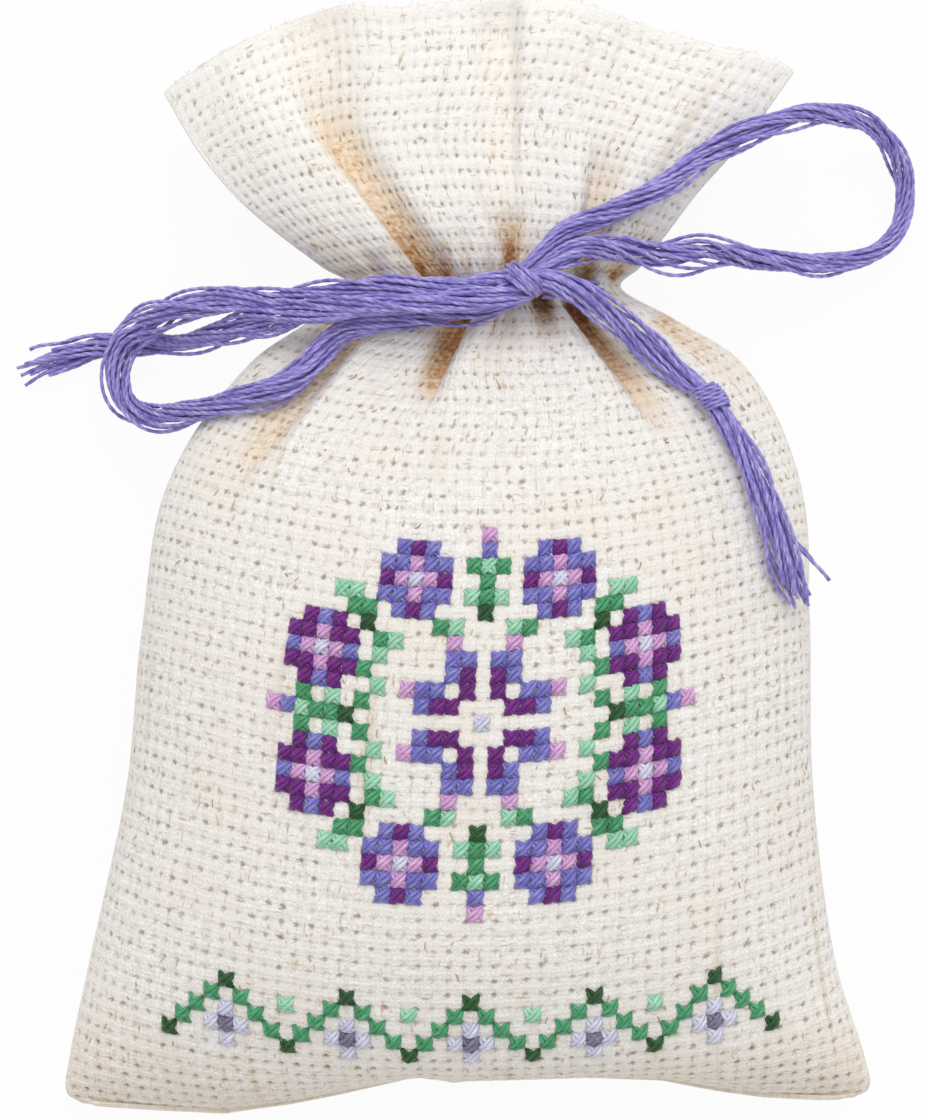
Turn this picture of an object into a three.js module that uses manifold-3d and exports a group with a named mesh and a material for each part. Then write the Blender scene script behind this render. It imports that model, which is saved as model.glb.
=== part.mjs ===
// Lavender sachet: two cloth panels sewn into a bag, a filling of dried buds, and a bow of floss that
// gathers the neck. The bag lies on its back: +Z is up out of the front, +Y points to the frilled mouth.
// All lengths are in millimetres.
import * as THREE from 'three';
import { mergeVertices } from 'three/addons/utils/BufferGeometryUtils.js';
import Module from 'manifold-3d';

const wasm = await Module();
wasm.setup();

// Cloth
const CLOTH_THICKNESS = 0.8;
const HEM_THICKNESS = 1.5;
const HEM_DEPTH = 7;
const SEAM_THREAD_DIAMETER = 0.5;
const CLEARANCE = 0.3;
const SOFT_CLEARANCE = 0.5;

// Widths of the filled bag, from the bottom seam to the mouth
const BOTTOM_WIDTH = 73.8;
const TOE_WIDTH = 72.6;
const BELLY_WIDTH = 68;
const MIDDLE_WIDTH = 63;
const CHEST_WIDTH = 60.4;
const SHOULDER_WIDTH = 55.5;
const COLLAR_WIDTH = 40;
const NECK_WIDTH = 27;
const FRILL_WIDTH = 42.5;
const MOUTH_WIDTH = 58;

// Lengths along +Y, from the bottom corners to the middle of the mouth
const BODY_LENGTH = 74;
const NECK_LENGTH = 3.4;
const FRILL_LENGTH = 24.6;
const BOTTOM_ARCH = 1.6;
const MOUTH_ARCH = 7.4;

// Heights above the surface that the bag lies on
const SEAM_HEIGHT = 10;
const CROWN_HEIGHT = 26.3;
const NECK_FRONT_HEIGHT = 13.8;
const NECK_BACK_HEIGHT = 5.6;
const FRILL_FRONT_HEIGHT = 13.6;
const FRILL_BACK_HEIGHT = 7.2;
const MOUTH_SEAM_HEIGHT = 9.4;
const MOUTH_FRONT_HEIGHT = 12.6;
const MOUTH_BACK_HEIGHT = 6.2;
const BACK_FLATTENING = 3;

// Floss and its knots
const FLOSS_DIAMETER = 2.6;
const STRAND_DIAMETER = 0.8;
const KNOT_OFFSET = 3.7;
const KNOT_LENGTH = 6.6;
const KNOT_WIDTH = 4.8;
const KNOT_HEIGHT = 6.2;
const END_KNOT_LENGTH = 3.2;
const END_KNOT_WIDTH = 3.8;

// Facets
const ROW_STEP = 3.5;
const FRONT_COLUMNS = 30;
const BACK_COLUMNS = 20;
const FILLING_COLUMNS = 14;
const FLOSS_SIDES = 8;
const STRAND_SIDES = 5;
const FLOSS_STEP = 3.8;
const TIE_POINTS = 36;
const TIE_STEP = 1.6;
const SEAM_POINTS = 40;
const SEAM_STEP = 2.5;
const END_KNOT_SIDES = 12;
const FRINGE_STRANDS = 5;
const FRINGE_POINTS = 4;
const FRINGE_STEP = 3;
const FRINGE_UNEVENNESS = 0.3;
const MERGE_DISTANCE = 0.0001;

// Colours
const CREAM = 0xebe3d7;
const CREAM_SHADE = 0xe3dacc;
const SEWING_WHITE = 0xf4f0e8;
const LAVENDER_GREY = 0x6f6a86;
const VIOLET = 0x877cb5;
const VIOLET_LIGHT = 0xa49ac8;

const NECK_MIDDLE = BODY_LENGTH + NECK_LENGTH / 2;
const NECK_LEAN = 1.7;
const MOUTH = BODY_LENGTH + NECK_LENGTH + FRILL_LENGTH;
const FRILL_UP = MOUTH - FRILL_LENGTH * 0.59;
const FRONT_RISE = CROWN_HEIGHT - SEAM_HEIGHT;
const BACK_DROP = SEAM_HEIGHT + BACK_FLATTENING;
const FLOSS_RADIUS = FLOSS_DIAMETER / 2;

// Each station of the loft: how far up its middle and its side seams lie, its width, how far its middle
// leans to the right, the heights of seam, front and back, and how lens-like (1) or round (0.5) it is.
const STATION_FIELDS = ['up', 'sideUp', 'width', 'lean', 'seam', 'front', 'back', 'lens'];
const neckSection = {
  width: NECK_WIDTH, lean: NECK_LEAN,
  seam: SEAM_HEIGHT, front: NECK_FRONT_HEIGHT, back: NECK_BACK_HEIGHT, lens: 0.5,
};
const bodySection = (share, sideShare, width, lean, rise, drop, lens) => ({
  up: BODY_LENGTH * share, sideUp: BODY_LENGTH * sideShare, width, lean, seam: SEAM_HEIGHT,
  front: SEAM_HEIGHT + FRONT_RISE * rise, back: SEAM_HEIGHT - BACK_DROP * drop, lens,
});
const stations = [
  { ...bodySection(0, 0, BOTTOM_WIDTH, 0, 0, 0, 0.6), up: BOTTOM_ARCH },
  bodySection(0.045, 0.06, TOE_WIDTH, 0, 0.42, 0.55, 0.6),
  bodySection(0.17, 0.185, BELLY_WIDTH, -0.2, 0.83, 0.93, 0.55),
  bodySection(0.39, 0.4, MIDDLE_WIDTH, 0.1, 1, 1, 0.5),
  bodySection(0.605, 0.59, CHEST_WIDTH, 0.9, 0.98, 1, 0.5),
  bodySection(0.81, 0.795, SHOULDER_WIDTH, 1.8, 0.74, 0.85, 0.5),
  bodySection(0.93, 0.935, COLLAR_WIDTH, 2.4, 0.42, 0.5, 0.5),
  { ...neckSection, up: BODY_LENGTH, sideUp: BODY_LENGTH },
  { ...neckSection, up: BODY_LENGTH + NECK_LENGTH, sideUp: BODY_LENGTH + NECK_LENGTH },
  {
    up: FRILL_UP, sideUp: FRILL_UP - MOUTH_ARCH * 0.4, width: FRILL_WIDTH, lean: 1.5,
    seam: SEAM_HEIGHT, front: FRILL_FRONT_HEIGHT, back: FRILL_BACK_HEIGHT, lens: 0.62,
  },
  {
    up: MOUTH, sideUp: MOUTH - MOUTH_ARCH, width: MOUTH_WIDTH, lean: 1.1,
    seam: MOUTH_SEAM_HEIGHT, front: MOUTH_FRONT_HEIGHT, back: MOUTH_BACK_HEIGHT, lens: 0.7,
  },
];

// The loft runs along the ridge of the front, so a place on it is a distance from the bottom seam.
const ridgeDistances = [0];
for (let i = 1; i < stations.length; i += 1) {
  const climb = Math.hypot(stations[i].up - stations[i - 1].up, stations[i].front - stations[i - 1].front);
  ridgeDistances.push(ridgeDistances[i - 1] + climb);
}
const RIDGE_LENGTH = ridgeDistances[stations.length - 1];
const TOE = 1;
const COLLAR = 6;
const stationValues = stations.flatMap((station) => STATION_FIELDS.map((field) => station[field]));
const loft = new THREE.CubicInterpolant(ridgeDistances, stationValues, STATION_FIELDS.length);

function sectionAt(distance) {
  const values = loft.evaluate(distance);
  return Object.fromEntries(STATION_FIELDS.map((field, i) => [field, values[i]]));
}

// Creases of the gathered cloth, placed from the middle of the neck: a straight valley from one point to
// another, its depth at both ends, and how far the cloth rolls into it from the left and from the right.
// A negative depth is a raised pleat. The pleats of the frill shape both layers.
const frillPleats = [
  { from: [-4.3, 1.7], to: [-18, 25], depth: [2.2, 4.2], left: 2.2, right: 6.5 },
  { from: [9.4, 1.7], to: [15.4, 25], depth: [1.8, 3.4], left: 6, right: 2.6 },
  { from: [-9, 1.7], to: [-25, 21], depth: [-0.8, -2], left: 4, right: 4 },
  { from: [12, 1.7], to: [24, 22], depth: [-0.6, -1.6], left: 4, right: 4 },
];
const frontCreases = [
  { from: [2.6, 1], to: [1.7, 12], depth: [1.8, 0], left: 1.2, right: 1.2 },
  { from: [-0.6, -2], to: [-5.2, -10], depth: [2.6, 0], left: 1.4, right: 1.6 },
  { from: [8.6, -2], to: [18.8, -15.5], depth: [2.4, 0], left: 1.7, right: 3.6 },
  { from: [-11, -4], to: [-23, -17], depth: [1.5, 0], left: 3.2, right: 2 },
  { from: [17, -4.5], to: [24.5, -9.5], depth: [1.2, 0], left: 2, right: 2 },
];
// A crease in the front alone takes at most this share of the height of the cloth above the seam.
const DEEPEST_CREASE = 0.6;

function creaseDepth(crease, x, y) {
  const start = new THREE.Vector2(crease.from[0] + NECK_LEAN, crease.from[1] + NECK_MIDDLE);
  const run = new THREE.Vector2(crease.to[0] - crease.from[0], crease.to[1] - crease.from[1]);
  const offset = new THREE.Vector2(x, y).sub(start);
  const along = offset.dot(run) / run.lengthSq();
  const toRight = offset.cross(run) / run.length() * Math.sign(run.y);
  const roll = toRight > 0 ? crease.right : crease.left;
  const fadeIn = THREE.MathUtils.smoothstep(along, 0, 0.15);
  const fadeOut = 1 - THREE.MathUtils.smoothstep(along, 0.75, 1.15);
  const depth = THREE.MathUtils.lerp(crease.depth[0], crease.depth[1], THREE.MathUtils.clamp(along, 0, 1));
  return depth * fadeIn * fadeOut * Math.exp(-((toRight / roll) ** 2));
}

function totalDepth(creases, x, y) {
  return creases.reduce((sum, crease) => sum + creaseDepth(crease, x, y), 0);
}

// A section with its direction of travel: how steeply its face climbs, and how much its sides flare.
function sectionWithSlope(distance, face) {
  const nearby = 0.05;
  const before = sectionAt(Math.max(distance - nearby, 0));
  const after = sectionAt(Math.min(distance + nearby, RIDGE_LENGTH));
  const climb = new THREE.Vector2(after.up - before.up, after[face] - before[face]).normalize();
  const side = new THREE.Vector2((after.width - before.width) / 2, after.sideUp - before.sideUp);
  return { ...sectionAt(distance), climb, flare: side.length() / side.y };
}

// A point of the bag. across runs from -1 at the left seam over the ridge to 1 at the right seam, and
// the insets move the point inwards, in plan and in height.
function bagPoint(face, distance, across, planInset, heightInset, seamGap) {
  const section = sectionWithSlope(distance, face);
  const outward = face === 'front' ? 1 : -1;
  const side = Math.sin(across * Math.PI / 2);
  const swell = Math.max(1 - side * side, 0) ** section.lens;
  const x = section.lean + (section.width / 2 - planInset * section.flare) * side;
  const outerY = section.sideUp + (section.up - section.sideUp) * swell;
  const y = outerY + planInset * outward * section.climb.y;
  const seam = section.seam + outward * seamGap;
  const outerRise = Math.max(outward * (section[face] - seam), 0);
  const rise = Math.max(outerRise - heightInset * section.climb.x, 0);
  let z = seam + outward * rise * swell;
  z -= swell * totalDepth(frillPleats, x, outerY);
  if (face === 'front') {
    z -= swell * Math.min(totalDepth(frontCreases, x, outerY), outerRise * DEEPEST_CREASE);
  } else {
    z = Math.max(z, heightInset);
  }
  return new THREE.Vector3(x, y, z);
}

// Rows of points across the bag: one at each station up to the last, and evenly between them.
function bagGrid(face, columns, lastStation, insetAt, seamGap) {
  const distances = [0];
  for (let i = 1; i <= lastStation; i += 1) {
    const stretch = ridgeDistances[i] - ridgeDistances[i - 1];
    const rows = Math.ceil(stretch / ROW_STEP);
    for (let k = 1; k <= rows; k += 1) {
      distances.push(ridgeDistances[i - 1] + stretch * k / rows);
    }
  }
  return distances.map((distance) => {
    const inset = insetAt(distance);
    const row = [];
    for (let j = 0; j <= columns; j += 1) {
      row.push(bagPoint(face, distance, -1 + 2 * j / columns, inset.plan, inset.height, seamGap));
    }
    return row;
  });
}

// Two grids of points, one above the other, closed round their rims into one solid.
function closedSolid(upper, lower) {
  const rows = upper.length - 1;
  const columns = upper[0].length - 1;
  const points = [...upper.flat(), ...lower.flat()];
  const top = (i, j) => i * (columns + 1) + j;
  const bottom = (i, j) => top(i, j) + (rows + 1) * (columns + 1);
  const faces = [];
  const quad = (a, b, c, d) => faces.push(a, b, c, a, c, d);
  for (let i = 0; i < rows; i += 1) {
    for (let j = 0; j < columns; j += 1) {
      quad(top(i, j), top(i, j + 1), top(i + 1, j + 1), top(i + 1, j));
      quad(bottom(i, j), bottom(i + 1, j), bottom(i + 1, j + 1), bottom(i, j + 1));
    }
  }
  for (let j = 0; j < columns; j += 1) {
    quad(bottom(0, j), bottom(0, j + 1), top(0, j + 1), top(0, j));
    quad(bottom(rows, j + 1), bottom(rows, j), top(rows, j), top(rows, j + 1));
  }
  for (let i = 0; i < rows; i += 1) {
    quad(bottom(i + 1, 0), bottom(i, 0), top(i, 0), top(i + 1, 0));
    quad(bottom(i, columns), bottom(i + 1, columns), top(i + 1, columns), top(i, columns));
  }
  const geometry = new THREE.BufferGeometry().setFromPoints(points);
  geometry.setIndex(faces);
  return geometry;
}

// Panels: the cloth is one layer thick, and twice as thick where the mouth is turned in.
function panelInset(distance) {
  const hemStart = RIDGE_LENGTH - HEM_DEPTH;
  const intoHem = THREE.MathUtils.smoothstep(distance, hemStart - 1, hemStart + 1);
  const thickness = THREE.MathUtils.lerp(CLOTH_THICKNESS, HEM_THICKNESS, intoHem);
  return { plan: thickness, height: thickness };
}
const noInset = () => ({ plan: 0, height: 0 });

function panel(face, columns) {
  const outer = bagGrid(face, columns, stations.length - 1, noInset, CLEARANCE / 2);
  const inner = bagGrid(face, columns, stations.length - 1, panelInset, CLEARANCE / 2);
  return face === 'front' ? closedSolid(outer, inner) : closedSolid(inner, outer);
}

// Filling: a heap of dried buds that presses on both panels and stays clear of the seam threads.
const FILLING_EDGE = 0.4;
const fillingInset = () => ({
  plan: CLOTH_THICKNESS + SEAM_THREAD_DIAMETER + 3 * SOFT_CLEARANCE,
  height: CLOTH_THICKNESS + SOFT_CLEARANCE,
});

function filling() {
  const front = bagGrid('front', FILLING_COLUMNS, COLLAR, fillingInset, FILLING_EDGE);
  const back = bagGrid('back', FILLING_COLUMNS, COLLAR, fillingInset, FILLING_EDGE);
  return closedSolid(front, back);
}

// Height of the front cloth at a place in the plan, or of the table where there is no cloth.
function frontHeight(x, y) {
  const sideOf = (section) => (x - section.lean) / (section.width / 2);
  const upOf = (section) => {
    const swell = Math.max(1 - sideOf(section) ** 2, 0) ** section.lens;
    return section.sideUp + (section.up - section.sideUp) * swell;
  };
  let low = 0;
  let high = RIDGE_LENGTH;
  const halvings = 30;
  for (let i = 0; i < halvings; i += 1) {
    const middle = (low + high) / 2;
    if (upOf(sectionAt(middle)) < y) {
      low = middle;
    } else {
      high = middle;
    }
  }
  const side = sideOf(sectionAt(low));
  if (Math.abs(side) >= 1) {
    return 0;
  }
  return bagPoint('front', low, Math.asin(side) * 2 / Math.PI, 0, 0, CLEARANCE / 2).z;
}

// Height at which something of this half height clears the cloth within its reach.
function restingHeight(x, y, reach, halfHeight) {
  const places = [[0, 0], [reach, 0], [-reach, 0], [0, reach], [0, -reach]];
  const highest = Math.max(...places.map(([dx, dy]) => frontHeight(x + dx, y + dy)));
  return highest + CLEARANCE + halfHeight;
}

// A point of a route is placed from the middle of the neck. Without a height it lies on the cloth.
function routePoints(route, radius) {
  return route.map(([fromNeck, up, z]) => {
    const x = fromNeck + NECK_LEAN;
    const y = up + NECK_MIDDLE;
    return new THREE.Vector3(x, y, z ?? restingHeight(x, y, radius, radius));
  });
}

// A round cord along a smooth route.
function cord(points, diameter, sides, step) {
  const path = new THREE.CatmullRomCurve3(points);
  const centre = new THREE.Vector2();
  const corner = (i) => new THREE.Vector2(diameter / 2, 0).rotateAround(centre, 2 * Math.PI * i / sides);
  const section = new THREE.Shape(Array.from({ length: sides }, (unused, i) => corner(i)));
  const steps = Math.ceil(path.getLength() / step);
  return new THREE.ExtrudeGeometry(section, { steps, extrudePath: path, bevelEnabled: false });
}

// Several closed shapes joined into one solid.
function joined(geometries) {
  const solids = geometries.map((geometry) => {
    geometry.deleteAttribute('normal');
    geometry.deleteAttribute('uv');
    const merged = mergeVertices(geometry, MERGE_DISTANCE);
    const vertProperties = merged.getAttribute('position').array;
    const triVerts = Uint32Array.from(merged.getIndex().array);
    return new wasm.Manifold(new wasm.Mesh({ numProp: 3, vertProperties, triVerts }));
  });
  const whole = solids.reduce((sum, solid) => sum.add(solid)).getMesh();
  const geometry = new THREE.BufferGeometry();
  geometry.setAttribute('position', new THREE.BufferAttribute(whole.vertProperties, 3));
  geometry.setIndex(new THREE.BufferAttribute(whole.triVerts, 1));
  return geometry;
}

// Seam threads run inside the seams, just clear of the cloth and midway between its two layers.
const SEAM_THREAD_INSET = CLOTH_THICKNESS + SOFT_CLEARANCE + SEAM_THREAD_DIAMETER / 2;

function sideSeamThread(hand) {
  const start = ridgeDistances[TOE];
  const end = RIDGE_LENGTH - HEM_DEPTH - HEM_THICKNESS;
  const points = [];
  for (let i = 0; i <= SEAM_POINTS; i += 1) {
    const distance = THREE.MathUtils.lerp(start, end, i / SEAM_POINTS);
    const section = sectionWithSlope(distance, 'front');
    const side = 1 - SEAM_THREAD_INSET * section.flare / (section.width / 2);
    const across = hand * Math.asin(side) * 2 / Math.PI;
    const front = bagPoint('front', distance, across, 0, CLOTH_THICKNESS, 0);
    const back = bagPoint('back', distance, across, 0, CLOTH_THICKNESS, 0);
    points.push(front.lerp(back, 0.5));
  }
  return cord(points, SEAM_THREAD_DIAMETER, STRAND_SIDES, SEAM_STEP);
}

function bottomSeamThread() {
  const reach = 0.85;
  const points = [];
  for (let i = 0; i <= SEAM_POINTS; i += 1) {
    const across = THREE.MathUtils.lerp(-reach, reach, i / SEAM_POINTS);
    points.push(bagPoint('front', 0, across, SEAM_THREAD_INSET, 0, 0));
  }
  return cord(points, SEAM_THREAD_DIAMETER, STRAND_SIDES, SEAM_STEP);
}

// Neck tie: one turn of floss round the gathered neck, open where the knot sits.
const TIE_OFFSET = SOFT_CLEARANCE + FLOSS_RADIUS;
const TIE_WIDE = NECK_WIDTH / 2 + TIE_OFFSET;
const TIE_FRONT = NECK_FRONT_HEIGHT - SEAM_HEIGHT + TIE_OFFSET;
const TIE_BACK = SEAM_HEIGHT - NECK_BACK_HEIGHT + TIE_OFFSET;
const KNOT_REACH = KNOT_LENGTH / 2 + CLEARANCE;

function neckTie() {
  const start = Math.acos((KNOT_OFFSET + KNOT_REACH) / TIE_WIDE);
  const end = Math.acos((KNOT_OFFSET - KNOT_REACH) / TIE_WIDE) - 2 * Math.PI;
  const points = [];
  for (let i = 0; i <= TIE_POINTS; i += 1) {
    const angle = THREE.MathUtils.lerp(start, end, i / TIE_POINTS);
    const x = NECK_LEAN + TIE_WIDE * Math.cos(angle);
    const height = Math.sin(angle);
    const z = SEAM_HEIGHT + height * (height > 0 ? TIE_FRONT : TIE_BACK);
    points.push(new THREE.Vector3(x, NECK_MIDDLE, z));
  }
  return cord(points, FLOSS_DIAMETER, FLOSS_SIDES, TIE_STEP);
}

// Bow knot: a tight bundle with the floss passing once round its waist, on the front of the neck.
function bowKnot() {
  const x = NECK_LEAN + KNOT_OFFSET;
  const z = restingHeight(x, NECK_MIDDLE, KNOT_WIDTH / 2, KNOT_HEIGHT / 2);
  const bundle = new THREE.SphereGeometry(0.5, 14, 10);
  bundle.scale(KNOT_LENGTH, KNOT_WIDTH * 0.9, KNOT_HEIGHT * 0.9);
  const waist = new THREE.TorusGeometry(0.36, 0.14, 8, 16);
  waist.scale(KNOT_HEIGHT, KNOT_WIDTH, KNOT_LENGTH);
  waist.rotateY(Math.PI / 2);
  const knot = joined([bundle, waist]);
  knot.translate(x, NECK_MIDDLE, z);
  return knot;
}

// Routes of the bow. Beyond the edge of the cloth the floss droops to the table.
const ABOVE_TIE = SEAM_HEIGHT + TIE_FRONT + FLOSS_DIAMETER + CLEARANCE;
const LEFT_ROOT = KNOT_OFFSET - KNOT_REACH;
const RIGHT_ROOT = KNOT_OFFSET + KNOT_REACH;
const leftLoopRoute = [
  [LEFT_ROOT, 1, ABOVE_TIE], [-4.3, 0.9, ABOVE_TIE], [-11.7, 0.6, 17.4], [-17.2, -0.4, 15.8],
  [-22.7, -0.5, 13.2], [-27.8, -1, 10], [-31.9, -2.9, 7], [-34.9, -6.5, 4.9], [-34.5, -10.2, 5.2],
  [-31.2, -12.6, 8.2], [-26.5, -12.6, 12.8], [-20.4, -10], [-15.3, -6.7], [-12, -4.2], [-8, -3], [-3, -3],
  [LEFT_ROOT, -3],
];
const leftTailRoute = [
  [LEFT_ROOT, -1.9, ABOVE_TIE + 1.2], [-6, -2.1, ABOVE_TIE + 1.2], [-12, -2.5, 18.6], [-17.5, -3.9, 15.8],
  [-23, -4.8, 11.8], [-28, -5.1, 6.6], [-32.5, -5.4, 2.2], [-36.6, -5.9, 1.4],
];
const leftFringeRoute = [[-37, -6, 1.4], [-39, -6.4, 1.2], [-41.6, -7.2, 0.9], [-44.4, -8.4, 0.6]];
const rightLoopRoute = [
  [RIGHT_ROOT, 1.5, ABOVE_TIE], [9.6, 2.5, ABOVE_TIE - 0.6], [13.2, 3.3], [18.8, 3.4, 12.8], [24.3, 3, 8.6],
  [30.8, 2.8, 4.5], [35.6, 3.9, 2.4], [38.4, 6.8, 1.7], [38.6, 10.8, 2.2], [36.5, 14.5, 4.6],
  [32.6, 16.2, 8.6], [27.1, 14.9, 12.8], [21.5, 11.7], [16, 8.5], [12.3, 6.6], [8.6, 5.2], [5.6, 3.8],
];
const rightTailRoute = [
  [RIGHT_ROOT, -1.5, ABOVE_TIE], [10.4, -2.9, ABOVE_TIE - 0.8], [13.5, -5], [16.4, -7.6], [18.6, -9.1],
];
const rightEndKnotPlace = [20.3, -10.6];
const rightFringeRoute = [[21.8, -12.6], [23.6, -17], [25.6, -22.5], [28.4, -28.5]];

// End knot: an overhand knot, drawn as a barrel with the floss wound round its middle.
function endKnot([fromNeck, up], from, to) {
  const half = END_KNOT_LENGTH / 2;
  const radius = END_KNOT_WIDTH / 2;
  const outline = [
    [0, -1], [0.55, -1], [0.8, -0.7], [0.85, -0.4], [1, -0.2],
    [1, 0.2], [0.85, 0.4], [0.8, 0.7], [0.55, 1], [0, 1],
  ];
  const profile = outline.map(([across, along]) => new THREE.Vector2(across * radius, along * half));
  const knot = new THREE.LatheGeometry(profile, END_KNOT_SIDES);
  knot.rotateZ(Math.atan2(to[1] - from[1], to[0] - from[0]) - Math.PI / 2);
  const x = fromNeck + NECK_LEAN;
  const y = up + NECK_MIDDLE;
  knot.translate(x, y, restingHeight(x, y, radius, radius));
  return knot;
}

// Fringe: loose strands that start together and spread to uneven ends.
function fringe(route, spread) {
  const radius = STRAND_DIAMETER / 2;
  const spine = new THREE.CatmullRomCurve3(routePoints(route, FLOSS_RADIUS));
  const strands = [];
  for (let k = 0; k < FRINGE_STRANDS; k += 1) {
    const sideways = -1 + 2 * k / (FRINGE_STRANDS - 1);
    const length = 1 - FRINGE_UNEVENNESS * ((k * 2) % FRINGE_STRANDS) / FRINGE_STRANDS;
    const points = [];
    for (let i = 0; i <= FRINGE_POINTS; i += 1) {
      const along = length * i / FRINGE_POINTS;
      const heading = spine.getTangent(along);
      const across = new THREE.Vector3(-heading.y, heading.x, 0).normalize();
      const offset = sideways * THREE.MathUtils.lerp(FLOSS_RADIUS - radius, spread, along);
      points.push(spine.getPoint(along).addScaledVector(across, offset));
    }
    strands.push(cord(points, STRAND_DIAMETER, STRAND_SIDES, FRINGE_STEP));
  }
  const root = new THREE.SphereGeometry(FLOSS_RADIUS, 10, 8);
  const start = spine.getPoint(0).addScaledVector(spine.getTangent(0), FLOSS_RADIUS);
  root.translate(start.x, start.y, start.z);
  return joined([root, ...strands]);
}

// The sachet, centred on the middle of its length
const sachet = new THREE.Group();
sachet.position.y = -MOUTH / 2;

function add(name, geometry, color, roughness) {
  const mesh = new THREE.Mesh(geometry, new THREE.MeshStandardMaterial({ color, roughness, metalness: 0 }));
  mesh.name = name;
  sachet.add(mesh);
}

const floss = (route) => cord(routePoints(route, FLOSS_RADIUS), FLOSS_DIAMETER, FLOSS_SIDES, FLOSS_STEP);

add('front_panel', panel('front', FRONT_COLUMNS), CREAM, 0.9);
add('back_panel', panel('back', BACK_COLUMNS), CREAM_SHADE, 0.9);
add('left_seam_thread', sideSeamThread(-1), SEWING_WHITE, 0.7);
add('right_seam_thread', sideSeamThread(1), SEWING_WHITE, 0.7);
add('bottom_seam_thread', bottomSeamThread(), SEWING_WHITE, 0.7);
add('lavender_filling', filling(), LAVENDER_GREY, 0.95);
add('neck_tie', neckTie(), VIOLET, 0.6);
add('bow_knot', bowKnot(), VIOLET, 0.6);
add('left_loop', floss(leftLoopRoute), VIOLET, 0.6);
add('left_tail', floss(leftTailRoute), VIOLET, 0.6);
add('left_fringe', fringe(leftFringeRoute, 1.5), VIOLET_LIGHT, 0.65);
add('right_loop', floss(rightLoopRoute), VIOLET, 0.6);
add('right_tail', floss(rightTailRoute), VIOLET, 0.6);
add('right_end_knot', endKnot(rightEndKnotPlace, rightTailRoute.at(-1), rightFringeRoute[0]), VIOLET, 0.6);
add('right_fringe', fringe(rightFringeRoute, 2.2), VIOLET_LIGHT, 0.65);

export default sachet;
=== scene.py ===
import functools
import math

import bpy
import numpy as np
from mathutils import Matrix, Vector
from mathutils.bvhtree import BVHTree


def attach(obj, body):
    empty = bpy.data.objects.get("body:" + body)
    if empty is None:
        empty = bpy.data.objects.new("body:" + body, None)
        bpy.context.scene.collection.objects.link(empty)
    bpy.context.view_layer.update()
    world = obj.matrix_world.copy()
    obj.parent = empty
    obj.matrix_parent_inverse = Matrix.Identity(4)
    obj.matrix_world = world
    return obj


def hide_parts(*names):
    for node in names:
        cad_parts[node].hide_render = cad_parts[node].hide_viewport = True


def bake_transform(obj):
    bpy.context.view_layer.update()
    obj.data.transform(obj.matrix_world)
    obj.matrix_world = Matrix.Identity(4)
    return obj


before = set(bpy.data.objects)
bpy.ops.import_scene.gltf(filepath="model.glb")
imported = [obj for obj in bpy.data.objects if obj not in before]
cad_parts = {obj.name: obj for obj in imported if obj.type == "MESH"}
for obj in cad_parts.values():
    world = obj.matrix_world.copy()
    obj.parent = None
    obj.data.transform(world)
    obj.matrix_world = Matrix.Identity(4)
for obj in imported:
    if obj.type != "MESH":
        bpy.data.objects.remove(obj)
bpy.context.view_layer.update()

scene = bpy.context.scene

# Camera and studio. The sachet lies on a white table and is seen from straight above. One broad lamp
# stands past its frilled end, and the white room fills in the rest. Lengths here are in metres.
PICTURE_MIDDLE = (-0.00037, -0.00047)
PICTURE_HEIGHT = 0.1033
PICTURE_LEVEL = 0.013
CAMERA_DISTANCE = 0.7
SENSOR_MM = 36
LAMP_PLACE = (0.08, 0.56, 0.72)
LAMP_POWER = 3.9
LAMP_SIZE = 0.7
ROOM_LIGHT = 0.7
TABLE_SIZE = 3
TABLE_DROP = 0.0002
TABLE_GLOW = 0.93


def tint(code):
    """Linear colour of an sRGB hex value."""
    parts = [int(code[i:i + 2], 16) / 255 for i in (0, 2, 4)]
    return (*[p / 12.92 if p <= 0.04045 else ((p + 0.055) / 1.055) ** 2.4 for p in parts], 1)


def add_node(tree, kind, inputs=(), **settings):
    """Adds a node with its settings. A node given as an input is linked by its first output in use, a
    socket is linked itself, and anything else is the input's value."""
    node = tree.nodes.new("ShaderNode" + kind)
    for name, value in settings.items():
        setattr(node, name, value)
    for name, value in dict(inputs).items():
        if isinstance(value, bpy.types.Node):
            value = next(socket for socket in value.outputs if socket.enabled)
        if isinstance(value, bpy.types.NodeSocket):
            tree.links.new(value, node.inputs[name])
        else:
            node.inputs[name].default_value = value
    return node


def new_material(name):
    """An empty material, and add_node for its own nodes."""
    material = bpy.data.materials.new(name)
    material.use_nodes = True
    material.node_tree.nodes.clear()
    return material, functools.partial(add_node, material.node_tree)


bpy.ops.object.camera_add(location=(*PICTURE_MIDDLE, PICTURE_LEVEL + CAMERA_DISTANCE))
scene.camera = bpy.context.object
scene.camera.data.sensor_width = SENSOR_MM
scene.camera.data.lens = SENSOR_MM * CAMERA_DISTANCE / PICTURE_HEIGHT

bpy.ops.object.light_add(type="AREA", location=LAMP_PLACE)
lamp = bpy.context.object
lamp.data.energy = LAMP_POWER
lamp.data.size = LAMP_SIZE
lamp.rotation_euler = (Vector((0, 0, 0)) - lamp.location).to_track_quat("-Z", "Y").to_euler()

scene.world = bpy.data.worlds.new("white_room")
scene.world.use_nodes = True
room = scene.world.node_tree.nodes["Background"]
room.inputs["Color"].default_value = (1, 1, 1, 1)
room.inputs["Strength"].default_value = ROOM_LIGHT
scene.view_settings.view_transform = "Standard"

bpy.ops.mesh.primitive_plane_add(size=TABLE_SIZE, location=(0, 0, -TABLE_DROP))
table = bpy.context.object
table.name = "table"

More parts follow.
